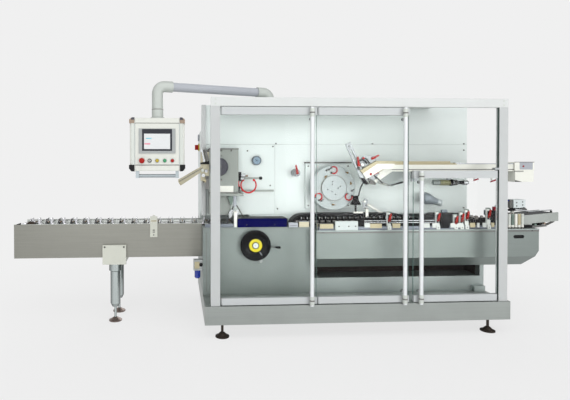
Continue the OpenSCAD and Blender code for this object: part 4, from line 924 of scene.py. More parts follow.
# %% Magazine rails and end
front_y, bed_z = bed_low.y + BED_INSET, bed_high.z - CAP_RISE
low_z, bend_x = bed_z - BED_T, 1524
far_x, end_x = bed_high.x, bed_high.x - END_LEN
belt_x = measured("magazine_belt")[1].x
magazine = Fitting("magazine_trim", "machine", "cream_paint", 0.7, (0, front_y, 0))
magazine.blocks(
    (1536, end_x, -2, 4, low_z + 12, low_z + 18, "line_grey"),
    (bend_x, belt_x, -1.5, 4, bed_z - 9, bed_z + 1, "line_beige"),
    (bend_x, belt_x - 50, 4, 10, bed_z - 2, bed_z + 19, "line_beige"),
    (belt_x, end_x, -1.5, 4, bed_z - 5, bed_z + 1, "arm_grey"),
    (belt_x, belt_x + 66, 12, 90, bed_z, bed_z + 6, "bright_steel"),
    (2418, 2436, -4, 10, low_z - 8, low_z + 6, "matt_black"),
    (end_x - 6, far_x + 2, -13, -8, low_z + 4, bed_z + 13, "cream_paint"),
    (far_x - 124, far_x - 12, -14, -8, low_z + 14, bed_z + 9, "arm_grey"),
    (end_x - 6, end_x + 70, -14, -8, low_z - 2, low_z + 4, "dark_steel"),
    (end_x - 6, far_x + 2, -14, -8, bed_z + 9, bed_z + 14, "line_grey"))
slope_strip = [(1346, 1204), (bend_x, bed_z), (bend_x, bed_z - 9), (1350, 1196)]
wedge = [(1488, 1140), (1560, 1148), (1632, 1164), (1632, 1178)]
skirt = [(1431, 1185), (1542, 1137), (1661, 1198), (1661, low_z), (1541, low_z)]
tongue = [(end_x - 2, bed_low.z + 34), (end_x + 62, bed_low.z + 34), (end_x - 2, bed_low.z + 50)]
magazine.plates(
    (slope_strip, -1.5, 4, "line_beige"), (wedge, -1, 8, "matt_black"),
    (skirt, 2, 6, "skirt_steel"), (tongue, -12, -8, "dark_steel"))
magazine.pin(belt_x - 10, bed_z + 1, 18, 162, 7, "dark_steel")
magazine.turned([(7, 0), (7, 5), (4, 8)], (far_x - 93, -12, bed_z - 23), "lever_red")
hook = [(1724, 1262), (1724, 1160)] + arc((1712, 1150), 12, 0, -200, 8)
magazine.tube([(x, 90, z) for x, z in hook], 5, "arm_steel")
magazine.done()

# %% Magazine clamps under the bed
LEVERS = (  # place, then reach and drop of each end
    (2236, -13, 75, 26, 62), (2384, -17, 86, 48, 65))
under = Fitting("magazine_clamps", "machine", "lever_red", 0.7, (0, front_y, low_z))
for x, x0, drop0, x1, drop1 in LEVERS:
    under.block(x - 18, x + 18, 4, 26, -42, 0, "clamp_white")
    under.block(x - 5, x + 5, 4, 12, -(drop0 + drop1) / 2, -40, "clamp_white")
    lever = [(x + x0, -drop0 - 5), (x + x0 + 5, 5 - drop0),
             (x + x1, 5 - drop1), (x + x1 + 3, -drop1 - 5)]
    under.plate(lever, -8, 5, "deep_red")
under.done()

# %% Air cylinder
AIR_AT = (2034, bed_high.y - 30, low_z - 99)
AIR_STEPS = (  # from and to along the cylinder, radius, finish
    (-60, -2, 22, "skirt_steel"), (-4, 84, 24, "olive_paint"), (84, 108, 28, "matt_black"),
    (108, 122, 20, "bright_steel"), (122, 148, 24, "dark_steel"), (148, 206, 14, "matt_black"),
    (204, 236, 24, "bright_steel"), (236, 246, 15, "matt_black"))
air = Fitting("air_cylinder_sleeve", "machine", "bracket_paint", 0.5, AIR_AT)
for start, end, radius, colour in AIR_STEPS:
    air.rod((start, 0, 0), (end, 0, 0), radius, colour)
air.done()

# %% [markdown]
# ## Carton track
# Under the feeder runs a dark track of chains and flights, between bright guide rods. A real
# roller chain has two plates and a pin for each pitch, so one loop lays it link by link.

# %% Roller chain and flights
LINK, LINK_R, PIN_R, FLIGHT_GAP = 25.4, 8, 3.6, 50.8
CHAIN_Y, CHAIN_Z = -10, 846
hood_len = hood_high.x - hood_low.x
link_count, flight_count = int((hood_len - 80) / LINK), int((hood_len - 130) / FLIGHT_GAP)
track = Fitting("carton_flights", "machine", "chain_steel", 0.0, (hood_low.x, hood_low.y, 0))
for i in range(link_count):
    x = 50 + i * LINK
    half, colour = (6, "dark_steel") if i % 2 else (8.5, "chain_grey")
    for y in (CHAIN_Y - half, CHAIN_Y + half - 2):
        track.plate(stadium(x, x + LINK, CHAIN_Z, LINK_R, 5), y, y + 2, colour)
    track.pin(x, CHAIN_Z, CHAIN_Y - 10, CHAIN_Y + 10, PIN_R, "bright_steel", sides=10)
for i in range(flight_count):
    x = 80 + i * FLIGHT_GAP
    finger = [(x, 818), (x + 16, 818), (x + 13, 880), (x + 8, 888), (x + 3, 880)]
    track.plate(finger, -22, -1, "matt_black")
    track.block(x + 4, x + 11, -25, -21, 864, 884, "bright_steel")
    track.pin(x + 32, 872, -18, 0, 5, "chain_grey", sides=12)
    track.block(x + 20, x + 44, -16, -2, 824, 834, "dark_steel")
track.done()
print("chain links", link_count, "flights", flight_count)

# %% Guide rods and strips
trough_low, trough_high = measured("carton_trough")
rail_low, rail_high = measured("chain_rails")
RAIL_T = 12
hood_x, hood_y = hood_low.x, hood_low.y - rail_low.y - RAIL_T
guides = Fitting("track_guides", "machine", "discharge_steel", 0.6, (0, rail_low.y + RAIL_T, 0))
guides.blocks(
    (1061, 1246, -14, 1, trough_high.z + 1, rail_high.z + 1, "seam_grey"),
    (1248, 1302, -4, 18, 834, 868, "matt_black"),
    (1304, 1348, -6, 4, 806, 840, "clamp_white"),
    (1938, 2008, -8, 21, 796, 922, "matt_black"),
    (1952, 2000, 6, 24, 921, 944, "bezel_dark"),
    (1250, 1790, 20, 25, 813, 834, "matt_black"),
    (2440, 2500, 88, 126, 850, 926, "matt_black"),
    (2462, 2500, 94, 122, 925, 956, "deep_red"),
    (2384, 2442, 96, 116, 888, 930, "rail_steel"),
    (920, 1060, 20, 25, 813, 842, "dark_steel"),
    (hood_x - 16, hood_x + 58, hood_y - 28, hood_y + 1, 802, 838, "arm_grey"),
    (hood_x - 6, hood_x + 48, hood_y - 29, hood_y, 814, 818, "line_grey"),
    (hood_x + 68, hood_x + 150, hood_y - 28, hood_y + 1, 802, 846, "tray_beige"),
    (hood_x + 66, hood_x + 152, hood_y - 29, hood_y + 1, 846, 852, "rail_steel"))
BEIGE_FEET = ((939, 1047), (1349, 1446), (1536, 1600), (2186, 2228), (2366, 2390))
WHITE_FEET = ((1773, 1845), (1868, 1899), (2020, 2126), (2246, 2266), (2292, 2324))
for feet, colour in ((BEIGE_FEET, "line_beige"), (WHITE_FEET, "clamp_white")):
    for x0, x1 in feet:
        guides.block(x0, x1, -6, 3, 800, 836, colour)
for x in (1090, 1170, 1226):
    guides.screw((x, -14, 818), 5)
for z in (842, 858):
    guides.rod((1246, 9, z), (1936, 9, z), 4, "bright_steel")
side_guide = [(1780, 813), (2490, 813), (2490, 915), (2330, 915), (2330, 878), (2200, 878),
              (2200, 916), (1850, 922), (1780, 896)]
guides.plate(side_guide, 20, 25, "matt_black")
guides.plate([(2470, 955), (2500, 955), (2500, 974)], 96, 120, "arm_grey")
for x, z, radius in ((2214, 886, 12), (2252, 878, 16), (2300, 884, 10)):
    guides.pin(x, z, 12, 28, radius, "chain_grey")
guides.done()

# %% [markdown]
# ## Hand clamps
# The front guide is held by clamps with red cam levers. Each stands on a pale foot block and has
# a black pivot and a dark slot, so a loop over the places gives them all the same fittings.

# %% Hand clamps
CLAMPS = ((1509, 930), (1916, 930), (2066, 905), (2117, 925), (2160, 945), (2345, 955))  # x, top
PIVOT_DROP = 68
post_low, post_high = measured("clamp_posts")
foot_z, deep = trough_high.z, post_high.y - post_low.y
clamps = Fitting("clamp_fittings", "machine", "white_plastic", 0.6, (0, post_low.y, 0))
for x, top in CLAMPS:
    pivot_z = top - PIVOT_DROP
    clamps.blocks(
        (x - 15, x + 15, -9, 2, foot_z + 1, foot_z + 34, "clamp_white"),
        (x - 11, x + 3, -3, 2, pivot_z - 24, top - 22, "matt_black"),
        (x - 14, x + 14, -2, deep + 2, top - 4, top + 3, "bracket_green"),
        (x + 8, x + 18, -2, deep + 2, top - 96, top - 4, "seal_green"))
    clamps.pin(x, foot_z + 16, -12, -8, 3.5, "dark_steel")
    clamps.pin(x, pivot_z, -16, 0, 6, "matt_black")
clamps.done()

# %% [markdown]
# ## Leaflet folder
# The folder feeds printed leaflets to the buckets. Its grey case carries a dark cup, a bare
# plate and two bars, and a channel brings the leaflets in from the left between small rollers.

# %% Folder fittings
folder_low, folder_high = measured("leaflet_folder")
FOLDER_W, FOLDER_Y, CUP_R = 244, 380, 72
left, right, top = folder_low.x, folder_low.x + FOLDER_W, folder_high.z
folder = Fitting("folder_fittings", "machine", "folder_grey", 0.8, (0, FOLDER_Y, 0))
cup_at = (left + 82, 1, 1296)
cup = [(CUP_R + 4, 0), (CUP_R + 4, 6), (CUP_R, 8), (CUP_R, 40), (CUP_R - 5, 45)]
folder.turned(cup, cup_at, "cup_grey", sides=48)
folder.turned([(16, 42), (16, 49)], cup_at, "dark_steel")
folder.blocks(
    (150, 262, -3, 1, 1084, 1138, "white_plastic"),
    (left - 2, right + 2, -3, 40, top - 10, top + 2, "line_grey"),
    (150, 168, -4, 1, top - 24, top - 8, "dark_steel"),
    (238, 250, -4, 1, top - 26, top - 8, "dark_steel"),
    (left - 2, right + 2, -3, 1, 1077, 1083, "line_grey"))
for z in (1188, 1390):
    folder.screw((160, 0, z), 5)
folder.done()

# %% Motor end
motor_low, motor_high = measured("folder_motor")
MOTOR_TILT, MOTOR_R, MOTOR_Y, RING_W = math.radians(18), 28, 50, 9
cos, sin = math.cos(MOTOR_TILT), math.sin(MOTOR_TILT)
way = Vector((cos, 0, -sin))
tip = (motor_high.x - MOTOR_R * sin, motor_low.y + MOTOR_Y, motor_low.z + MOTOR_R * cos)
motor = Fitting("motor_end", "machine", "folder_grey", 0.6, tip)
for back, radius, colour in ((64, MOTOR_R + 1, "bezel_dark"), (40, MOTOR_R + 2, "alu_grey"),
                             (24, MOTOR_R + 2, "alu_grey"), (8, MOTOR_R + 2, "alu_grey")):
    motor.rod(way * -back, way * (RING_W - back), radius, colour, sides=32)
motor.done()

# %% Folder bars and links
linkage = Fitting("folder_links", "machine", "gauge_steel", 0.6, (0, FOLDER_Y, 0))
linkage.blocks(
    (right, right + 26, 8, 36, 1178, 1252, "matt_black"),
    (258, 283, -82, -58, deck_z - 1, 926, "white_plastic"),
    (258, 283, -70, -4, 912, 928, "white_plastic"),
    (338, 354, -26, -12, deck_z - 1, 872, "dark_steel"))
LINK_RODS = (  # start, end, radius, finish
    ((right + 24, 20, 1224), (right + 62, 20, 1224), 15, "bright_steel"),
    ((right + 60, 20, 1220), (right + 82, 20, 1220), 9, "cap_bronze"),
    ((right + 20, 10, 1196), (right + 44, 10, 1196), 13, "bright_steel"),
    ((271, -14, 1055), (271, -14, 966), 14, "arm_grey"),
    ((286, -20, 976), (346, -20, 874), 4.5, "dark_steel"),
    ((262, -12, 968), (236, -12, 906), 5, "dark_steel"),
    ((330, -20, 868), (362, -20, 868), 9, "dark_steel"))
for row in LINK_RODS:
    linkage.rod(*row)
knob = [(11, 0), (14, 8), (14, 20), (8, 26)]
linkage.turned(knob, (right + 178, 20, 1200), "matt_black", RIGHTWARDS)
cam = [(right - 2, 1176), (right + 14, 1176), (right + 6, 1150), (right + 20, 1120),
       (right + 8, 1086), (right - 2, 1086)]
linkage.plates(
    (cam, 16, 28, "matt_black"),
    ([(212, 1052), (268, 1052), (258, 1014), (240, 969)], -18, -8, "bracket_green"),
    ([(222, 918), (246, 944), (262, 928), (244, 880), (226, 868)], -22, -6, "bright_steel"),
    ([(276, 930), (296, 944), (306, 916), (284, 872), (272, 890)], -26, -10, "bright_steel"))
linkage.tube([(right + 4, 14, 1178), (right + 2, 12, 1156), (right + 8, 12, 1130)], 6, "hose_red")
linkage.done()

# %% Leaflet channel
CHANNEL_W, CHANNEL_H = 64, 21
tray_y = measured("leaflet_tray")[0].y
tip, root = Vector((-188, 1170)), Vector((36, 1300))
length = (root - tip).length
run = (root - tip).normalized()
channel = Fitting("leaflet_channel", "machine", "belt_beige", 0.5, (0, tray_y - 2, 0))


def strip(start, end, low, high):
    """A rectangle along the sloping channel."""
    lift = Vector((-run.y, run.x))
    return [tip + run * along + lift * up
            for along, up in ((start, low), (end, low), (end, high), (start, high))]


for y in (0, CHANNEL_W - 3):
    channel.plate(strip(0, length, -CHANNEL_H, CHANNEL_H), y, y + 3, "tray_beige")
channel.plate(strip(2, length - 30, 2, 8), -1.5, 2, "line_grey")
channel.plate(strip(-2, 3, -CHANNEL_H - 1, CHANNEL_H + 1), -1, CHANNEL_W + 1, "line_beige")
CHANNEL_ROLLERS = (  # x, z, radius, finish
    (10, 1226, 15, "bright_steel"), (42, 1206, 12, "dark_steel"), (20, 1180, 14, "line_beige"),
    (4, 1268, 12, "profile_grey"), (34, 1262, 14, "bright_steel"), (14, 1172, 7, "dark_steel"))
for x, z, radius, colour in CHANNEL_ROLLERS:
    channel.pin(x, z, -14, 12, radius, colour)
channel.block(28, 58, -8, 6, 1110, 1220, "line_grey")
channel.plate([(-14, 1318), (60, 1318), (60, 1346), (-14, 1330)], -8, 50, "matt_black")
for x, colour in ((0, "bright_steel"), (18, "dark_steel"), (36, "line_grey")):
    sheet = [(x - 10, 1440 - x * 0.2), (x + 2, 1446 - x * 0.2), (x + 26, 1340), (x + 12, 1334)]
    channel.plate(sheet, -4, 44, colour)
channel.plate([(26, 1418), (60, 1452), (60, 1340), (44, 1340)], 4, 60, "dark_steel")
channel.done()

# %% Gauge
gauge_low, gauge_high = measured("pressure_gauge")
GAUGE_R = (gauge_high.x - gauge_low.x) / 2
TICKS, TICK_TURN, FIRST_TICK = 11, 27, 225
back = gauge_low.y - gauge_high.y
gauge_at = (gauge_low.x + GAUGE_R, gauge_low.y, gauge_low.z + GAUGE_R)
gauge = Fitting("dial_gauge", "machine", "gauge_steel", 0.4, gauge_at)
bezel = [(GAUGE_R, back), (GAUGE_R, -3), (GAUGE_R - 3, 1), (GAUGE_R - 9, 1), (GAUGE_R - 11, -3)]
gauge.turned(bezel, HERE, "bezel_dark", sides=48)
gauge.turned([(GAUGE_R - 10, -4), (GAUGE_R - 10, -2)], HERE, "dial_blue", sides=48)
gauge.turned([(4, -3), (4, 0.5)], HERE, "matt_black", sides=16)
for i in range(TICKS):
    turn = FIRST_TICK - TICK_TURN * i
    gauge.rod(around(20, turn, -1.6), around(26, turn, -1.6), 0.9, "white_plastic", sides=6)
gauge.rod((5, 0.6, -6), (-15, 0.6, 16), 1.4, "matt_black", 0.5, 8)
gauge.done("pressure_gauge")

# %% Main switch
switch_low, switch_high = measured("main_switch")
wide, tall = (switch_high.y - switch_low.y) / 2, (switch_high.z - switch_low.z) / 2
switch_y = switch_low.y + wide
rotary = Fitting("main_switch_dressing", "machine", "switch_yellow", 0.8,
                 (0, switch_y, switch_low.z + tall))
rotary.block(-8, 0, -wide, wide, -tall, tall, "warm_yellow")
rotary.turned([(26, 6), (26, 14), (22, 18)], HERE, "lever_red", LEFTWARDS)
rotary.plate([(-9, -24), (9, -24), (6, 24), (-6, 24)], switch_low.x, -16, "lever_red", "x")
for y in (8 - wide, wide - 8):
    for z in (8 - tall, tall - 8):
        rotary.screw((-8, y, z), 3, LEFTWARDS)
rotary.done("main_switch")

# %% [markdown]
# ## Discharge
# Filled cartons leave between upright white rollers and under an aluminium block. The rollers
# have dark grooves, which rings of two finishes show better than a texture would.

# %% Discharge fittings
ROLLER_X, ROLLER_PITCH, ROLLER_R = 2528, 28, 12
ROLLER_FINISHES = ("profile_grey", "bracket_green", "white_plastic", "line_beige", "profile_grey")
roller_y, table_z = measured("discharge_guides")[0].y + ROLLER_R, trough_high.z
outlet = Fitting("discharge_fittings", "machine", "discharge_steel", 0.6)
ROLLER_BASE = [(ROLLER_R + 1.4, 2), (ROLLER_R + 1.4, 10), (ROLLER_R - 2, 12), (ROLLER_R - 2, 30)]
ROLLER_BODY = [(ROLLER_R + 1, 30), (ROLLER_R + 1, 121)]
ROLLER_TIP = [(ROLLER_R - 4, 121), (ROLLER_R - 4, 126)]
for i, colour in enumerate(ROLLER_FINISHES):
    spot = (ROLLER_X + i * ROLLER_PITCH, roller_y, table_z)
    stack = ((ROLLER_BASE, "matt_black"), (ROLLER_BODY, colour), (ROLLER_TIP, "dark_steel"))
    for profile, name in stack:
        outlet.turned(profile, spot, name, UPWARDS, 24)
outlet.blocks(
    (2637, 2742, 297, 383, 945, 1014.5, "alu_grey"),
    (2616, 2638, 310, 370, 944, 1013, "line_grey"),
    (2622, 2640, 322, 342, 940, 1004, "cap_bronze"),
    (2752, 2764, 284, 296, 900, 922, "dark_steel"),
    (2956, 2968, 284, 296, 900, 922, "dark_steel"))
for x, z in ((2664, 990), (2664, 962), (2716, 996), (2716, 970)):
    outlet.pin(x, z, 295, 299, 5.5, "dark_steel", sides=16)
outlet.rod((2600, 330, 1006), (2630, 330, 1006), 7, "bowl_blue")
outlet.rod((2640, 286, 934), (2760, 286, 918), 7, "bright_steel")
outlet.rod((2754, 290, 914), (2968, 290, 928), 4, "bright_steel")
shoe = [(2600, 930), (2650, 948), (2690, 944), (2700, 928), (2650, 920), (2604, 918)]
clip = [(2692, 936), (2728, 952), (2752, 934), (2742, 922), (2706, 922)]
outlet.plates((shoe, 300, 330, "matt_black"), (clip, 290, 312, "dark_steel"))
outlet.done()

# %% Under the discharge
UNDER_ROLLERS = (  # x, z, radius, finish
    (2796, 808, 10, "bracket_green"), (2838, 812, 11, "matt_black"), (2876, 818, 9, "cap_bronze"))
frame_y = measured("discharge_frame")[0].y
below = Fitting("discharge_underside", "machine", "belt_dark", 0.6, (0, frame_y, 0))
below.block(2516, 2760, -12, 8, table_z + 1, table_z + 22, "matt_black")
below.rod((2560, -14, table_z + 12), (2660, -14, table_z + 12), 7, "profile_grey")
below.plate([(2764, 778), (2900, 792), (2892, 804), (2764, 800)], 2, 150, "line_grey")
for x, z, radius, colour in UNDER_ROLLERS:
    below.pin(x, z, -3, 160, radius, colour)
below.plate([(2880, 812), (2958, 838), (2966, 830), (2900, 800)], 1, 12, "dark_steel")
below.done()

# %% [markdown]
# ## Product buckets
# Each bucket is one strip of sheet bent to a U, with its lips turned out. Offsetting a bent line
# to both sides gives the strip's outline, and a loop carries it round the chain. The photo shows
# full height only near the front, so the rear part of each bucket is low.

# %% Bent sheet
def bent_sheet(path, thickness):
    """The outline of a strip of sheet that follows a path."""
    path = [Vector(p) for p in path]
    sides = ([], [])
    for i, spot in enumerate(path):
        along = (path[min(i + 1, len(path) - 1)] - path[max(i - 1, 0)]).normalized()
        off = Vector((-along.y, along.x)) * thickness / 2
        sides[0].append(spot + off)
        sides[1].append(spot - off)
    return sides[0] + sides[1][::-1]


def on_loop(along, wheel, run, radius):
    """Place and turn of a piece that stands out from a chain round two wheels."""
    bend = math.pi * radius
    if along < run:
        return Vector((wheel.x + along, wheel.y + radius)), 0.0
    if run + bend <= along < 2 * run + bend:
        return Vector((wheel.x + 2 * run + bend - along, wheel.y - radius)), math.pi
    right_end = along < run + bend
    turn = (run - along) / radius if right_end else math.pi - (along - 2 * run - bend) / radius
    middle = wheel.x + run if right_end else wheel.x
    return Vector((middle - radius * math.sin(turn), wheel.y + radius * math.cos(turn))), turn


print("bent sheet ready")

# %% Buckets
chain_low, chain_high = measured("infeed_chain")
floor_low, floor_high = measured("bucket_floors")
BUCKET_PITCH, BUCKET_COUNT, LIP, RISE, FULL_DEPTH, SHEET_T = 101.6, 38, 38, 54, 100, 2.6
LOOP_R = (chain_high.z - chain_low.z) / 2
infeed_run = chain_high.x - chain_low.x - 2 * LOOP_R
infeed_wheel = Vector((chain_low.x + LOOP_R, chain_low.z + LOOP_R))
corner = [(0, 1.6), (22, 1.6), (26, 3.5), (28.6, 8)]
full_half = corner + [(LIP - 3.4, RISE - 5), (LIP - 1.8, RISE - 1.6), (LIP + 1, RISE)]
low_half = corner + [(29.6, 15)]
bucket, low_bucket = [bent_sheet([(-x, z) for x, z in half[:0:-1]] + half, SHEET_T)
                      for half in (full_half, low_half)]
deep = floor_high.y - floor_low.y
buckets = Fitting("product_buckets", "machine", "bucket_steel", 0.0, (0, floor_low.y, 0))


def laid(outline, along):
    """An outline carried to its place on the infeed chain."""
    spot, turn = on_loop(along, infeed_wheel, infeed_run, LOOP_R)
    cos, sin = math.cos(turn), math.sin(turn)
    return [(spot.x + x * cos - z * sin, spot.y + x * sin + z * cos) for x, z in outline]


for i in range(BUCKET_COUNT):
    middle = (i + 0.5) * BUCKET_PITCH
    buckets.plate(laid(bucket, middle), 0, FULL_DEPTH, "bucket_bright")
    # The low rear part is pale matte white: painted light in place of the shade between the
    # buckets.
    buckets.plate(laid(low_bucket, middle), FULL_DEPTH, deep, "clamp_white")
    for side in (-1, 1):
        rib = [(side * 30, 6), (side * 35, 6), (side * 38, 30), (side * 33, 26)]
        buckets.plate(laid(rib, middle), 60, 64, "bucket_bright")
buckets.done("bucket_floors", "bucket_walls")

# %% Spacer rods
ATTACHMENT_Y = chain_low.y - floor_low.y + 48
spacers = Fitting("bucket_spacers", "machine", "chain_steel", 0.0, (0, floor_low.y, 0))
for i in range(BUCKET_COUNT):
    between = i * BUCKET_PITCH
    x, z = laid([(0, 27)], between)[0]
    spacers.pin(x, z, 6, FULL_DEPTH, 5, "cap_bronze", sides=12)
    tab, slat = [(-3, 1), (3, 1), (3, 26), (-3, 26)], [(-19, 0.3), (19, 0.3), (19, 3), (-19, 3)]
    spacers.plate(laid(tab, between), ATTACHMENT_Y, ATTACHMENT_Y + 4, "profile_grey")
    # The pale slats are painted light over the shade of the chain below.
    spacers.plate(laid(slat, between), 0, deep, "clamp_white")
spacers.done()

# %% [markdown]
# ## Infeed
# The infeed's side panels have bright folded edges and a dark end guide. Its legs are polished
# tubes in a block, with a collar at the top and a foot pad, which turned rings show.

# %% Infeed trim
panel_low, panel_high = measured("infeed_panels")
leg_low, leg_high = measured("infeed_leg_block")
eye_low, eye_high = measured("sensor_bracket")
PANEL_T, CABINET_STRIP_Y, COLLAR_DROP = 12, 302, 58
left, right, top = panel_low.x, panel_high.x, panel_high.z
infeed = Fitting("infeed_trim", "machine", "stainless_sheet", 0.6)
end_wedge = [(left + 4, top - 3), (left + 56, top - 3), (left + 56, top + 16)]
for y in (panel_low.y + 1, panel_high.y - 7):
    infeed.plate(end_wedge, y, y + 6, "matt_black")
    infeed.block(left + 1, right - 1, y, y + 6, top - 3, top + 2.5, "profile_grey")
end_guide = [(left + 76, top - 6), (left + 132, top + 29), (left + 174, top + 18),
             (left + 156, top - 6)]
infeed.plate(end_guide, panel_low.y + 2, panel_low.y + 11, "cast_iron")
eye_x, eye_y, eye_z = eye_low
eye_right, eye_top, rear_y = eye_high.x, eye_high.z, panel_high.y
# The pale strip on the rear panel's inner face, first below, is painted light over its shade.
infeed.blocks(
    (left + 1, right - 1, rear_y - PANEL_T - 1.5, rear_y - 1, top - 14, top + 3, "clamp_white"),
    (20, 256, CABINET_STRIP_Y, CABINET_STRIP_Y + 6, deck_z - 0.5, deck_z + 28, "rail_steel"),
    (eye_x + 22, eye_right - 22, eye_y - 1.2, eye_y + 1, eye_z + 38, eye_z + 46, "dark_steel"),
    (eye_x + 22, eye_right - 22, eye_y - 1.2, eye_y + 1, eye_z + 54, eye_z + 62, "dark_steel"),
    (eye_x + 8, eye_right - 8, eye_y - 2, eye_y + 1, eye_top - 52, eye_top - 44, "line_beige"))
for x in (leg_low.x + 18, leg_high.x - 18):
    infeed.screw((x, leg_low.y, leg_high.z - 16), 7)
infeed.screw((eye_x + 30, eye_y, eye_z + 18), 5)
collar_z = leg_low.z - COLLAR_DROP
collar = [(32, collar_z - 12), (40, collar_z - 8), (46, collar_z), (46, collar_z + 9),
          (32, collar_z + 9), (32, collar_z - 12)]
band = [(32, 146), (34, 150), (34, 157), (32, 157), (32, 146)]
pad = [(52, 0.6), (54.2, 0.6), (54.2, 8.6), (36.6, 17), (14.6, 31), (12, 29), (35, 14), (52, 6),
       (52, 0.6)]
for y in (panel_low.y + 42, panel_high.y - 55):
    for profile, colour in ((collar, "seal_green"), (band, "seal_green"), (pad, "pad_brown")):
        infeed.turned(profile, ((leg_low.x + leg_high.x) / 2, y, 0), colour, UPWARDS, 40)
infeed.done()

# %% Air unit
air_low, air_high = measured("air_unit")
BODY_RISE, BOWL_X = 67, 42.2
left, deep, top = air_low.x - air_high.x, air_high.y - air_low.y, air_high.z - air_low.z - BODY_RISE
body_at = (air_high.x, air_low.y, air_low.z + BODY_RISE)
regulator = Fitting("air_regulator", "machine", "air_blue", 0.8, body_at)
regulator.block(left - 1, 0, -1, deep + 1, -2, top + 0.5, "bezel_grey")
regulator.block(left + 8, -26, -3, 0, 14, top - 14, "line_beige")
regulator.turned([(15, 0), (15, 4), (12, 6)], (-14, 0, 46), "matt_black")
bowl = [(26, -2), (26, 6), (24.6, 8), (24.6, 60), (16, 69), (6, 71)]
regulator.turned(bowl, (-BOWL_X, deep / 2, 0), "bowl_blue", DOWNWARDS)
regulator.done("air_unit")

# %% [markdown]
# ## Guard and doors
# The clear doors hang on polished bars with collars, and each panel's cut edge shows darker. The
# trim of a door rides with it, and the dark strip on the right post's inner side, which is
# painted shade, stays with the machine.

# %% Door trims
BAR_R, BAR_INSET, BAR_Y = 15, 45, -27
COLLAR_LEN, COLLAR_GAP, KNOB_INSET = 62, 12, 31
collar, groove = ring(BAR_R, BAR_R + 3, 0, COLLAR_LEN), ring(BAR_R + 2, BAR_R + 3.6, 26, 36)
BAR_ENDS = {"left": 1, "middle": 1, "right": 0}  # 1 is the right end of the door and 0 its left end
for name, end in BAR_ENDS.items():
    rails, glass = measured(name + "_door_rails"), measured(name + "_door_glass")
    low_z, high_z = rails[0].z, rails[1].z
    edge_x, bar_x = glass[end].x, rails[end].x + (-BAR_INSET if end else BAR_INSET)
    trim = Fitting(name + "_door_trim", name + "_door", "door_white", 0.5)
    tube = ring(BAR_R - 1, BAR_R + 0.5, 3, high_z - low_z - 3)
    trim.turned(tube, (bar_x, BAR_Y, low_z), "bar_white", UPWARDS)
    front, back = glass[0].y - 0.6, glass[1].y + 0.6
    trim.block(edge_x - 1.5, edge_x + 0.6, front, back, glass[0].z, glass[1].z, "edge_green")
    for z in (low_z + COLLAR_GAP, high_z - COLLAR_GAP - COLLAR_LEN):
        trim.turned(collar, (bar_x, BAR_Y, z), "profile_grey", UPWARDS)
        trim.turned(groove, (bar_x, BAR_Y, z), "line_grey", UPWARDS)
    for z in (glass[0].z + KNOB_INSET, glass[1].z - KNOB_INSET):
        trim.turned([(12, -1), (12, 3), (9, 5)], (bar_x, glass[1].y, z), "dark_steel", BACKWARDS)
    trim.done()

# %% Guard trim
beam_low, beam_high = measured("top_beam")
POST_W, SHADE_STRIP_FROM = 70, 260
post_x = beam_high.x - POST_W
guard = Fitting("guard_trim", "machine", "guard_white", 0.4)
# The dark green strip on the right post's inner side is painted shade.
guard.block(post_x - 1.5, post_x + 1, 4, 24, SHADE_STRIP_FROM, beam_low.z, "seal_green")
for x, post_mid in ((beam_low.x, POST_W / 2), (beam_high.x, -POST_W / 2)):
    guard.block(x - 0.6, x + 0.6, 3, 37, beam_low.z - 1.2, beam_low.z + 1.2, "line_grey")
    for z in (beam_low.z + 18, beam_high.z - 18):
        guard.turned([(7, -1), (7, 1.2)], (x + post_mid, beam_low.y, z), "profile_grey", sides=20)
guard.done()

# %% Wall screws
wall_low, wall_high = measured("wall_panels")
WALL_SCREWS = (  # x, z
    (398, 1433), (597, 1133), (646, 1496), (1500, 1496), (2330, 1496), (2330, 930), (2330, 1440),
    (660, 930), (620, 1470))
SEAM_X, SEAM_Z = 637, 1488
box_y = switch_y - wall_low.y
screws = Fitting("wall_screws", "machine", "wall_white", 0.0, (0, wall_low.y, 0))
for x, z in WALL_SCREWS:
    screws.screw((x, 0, z), 6)
screws.blocks(
    (2, wall_high.x - 2, 1.5, 8, SEAM_Z - 1, SEAM_Z + 1, "seam_grey"),
    (SEAM_X - 1, SEAM_X + 1, 1.5, 8, wall_low.z + 2, SEAM_Z - 1, "seam_grey"),
    (412, cabinet_high.x, 2, 14, deck_z, wall_low.z + 1, "wall_white"),
    (-14, 0, box_y - 30, box_y + 30, 1536, 1595, "arm_grey"))
screws.done()
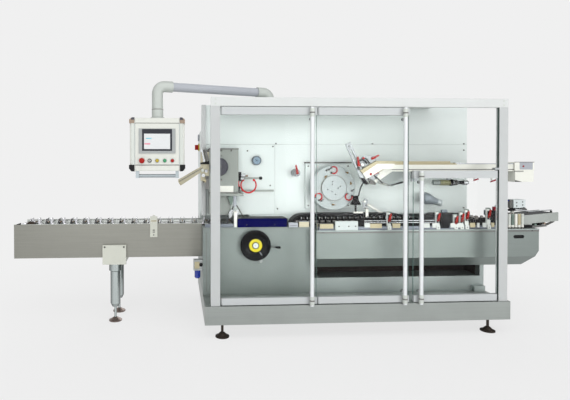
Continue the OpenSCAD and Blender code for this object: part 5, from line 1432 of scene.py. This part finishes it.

# %% [markdown]
# ## Trough, cover and cabinet
# The trough's upper edge is folded over: a bright lip in a lighter sheet tone than the trough,
# a painted highlight, and under it a dark grey strip that is painted shade of the fold. The black
# plate behind the pull slot is painted shade in its recess. Door gaps and screws on the cabinets
# are thin dark strips and turned heads. The recess below the trough gets an end wall, because
# the photo shows it dark to its end; the wall's dark face, like the bed's, is painted shade.

# %% Trough trim
left, front, top, right = trough_low.x, trough_low.y, trough_high.z, trough_high.x
PULL_DROP, PULL_FROM, PULL_TO, PULL_R = 64, 204, 140, 13.6
trough = Fitting("trough_trim", "machine", "stainless_sheet", 0.5, (0, front, 0))
bay_low, bay_high = measured("machine_bed")
POST_DEPTH, POST_INSET, WALL_T = 60, 17, 8
wall_y = cabinet_low.y + POST_DEPTH + WALL_T - front, bay_low.y + 1 - front
wall_z, wall_x = (bay_low.z, trough_low.z + 1), bay_high.x - POST_INSET
# The lighter lip is a painted highlight, the dark grey strip under it painted shade of the fold,
# and the dark end wall painted shade of the recess.
trough.blocks(
    (left, right, -5, 2, top - 9, top + 1, "low_sheet"),
    (left, right, -2, 2, top - 22, top - 9, "line_grey"),
    (right - 2, right + 1, 1, 14, top - 174, top - 9, "bracket_green"),
    (wall_x, wall_x + WALL_T, *wall_y, *wall_z, "bay_painted_shade"),
    (wall_x + WALL_T, wall_x + 2 * WALL_T, *wall_y, *wall_z, "low_sheet"))
# The black plate behind the pull slot is painted shade in its recess.
pull = stadium(right - PULL_FROM, right - PULL_TO, top - PULL_DROP, PULL_R)
trough.plate(pull, 9, 13.6, "matt_black")
for x in (left + 60, left + 900, right - 60):
    trough.screw((x, -2, top - 15.5), 4)
trough.done()

# %% Cover and cabinet trim
(x0, y0, z0), (x1, y1, z1) = measured("blue_cover")
left, front, bottom = cabinet_low
right = cabinet_high.x
cover = Fitting("cover_trim", "machine", "blue_paint", 0.5)
for share in (0.18, 0.75):
    cover.screw((x0 + share * (x1 - x0), y0, z0 + 22), 6)
cover.blocks(
    (x1 - 1, x1 + 9, y0 + 1, y1 - 1, z0, z1 - 2, "matt_black"),
    (x0 + 1, x1, y0 + 2, y1 - 1, z1 - 1, z1 + 2, "matt_black"),
    (right - 3, right, front - 1, front + 2, bottom + 4, deck_z - 26, "line_grey"),
    (left + 4, right, front - 1.2, front + 1, deck_z - 12, deck_z - 9, "line_grey"),
    (left + 30, left + 33, front - 1, front + 1, bottom + 30, deck_z - 40, "line_grey"))
cover.done()

# %% Rear panel screws
rear_low, rear_high = measured("rear_panels")
REAR_COLUMNS = 3
pitch = (rear_high.x - rear_low.x) / REAR_COLUMNS
fixings = Fitting("rear_fixings", "machine", "stainless_sheet", 0.0)
for i in range(REAR_COLUMNS):
    for dx in (40, pitch - 50):
        for z in (rear_low.z + 40, deck_z - 50, deck_z + 50, rear_high.z - 40):
            fixings.screw((rear_low.x + i * pitch + dx, rear_high.y, z), 8, BACKWARDS)
fixings.done()
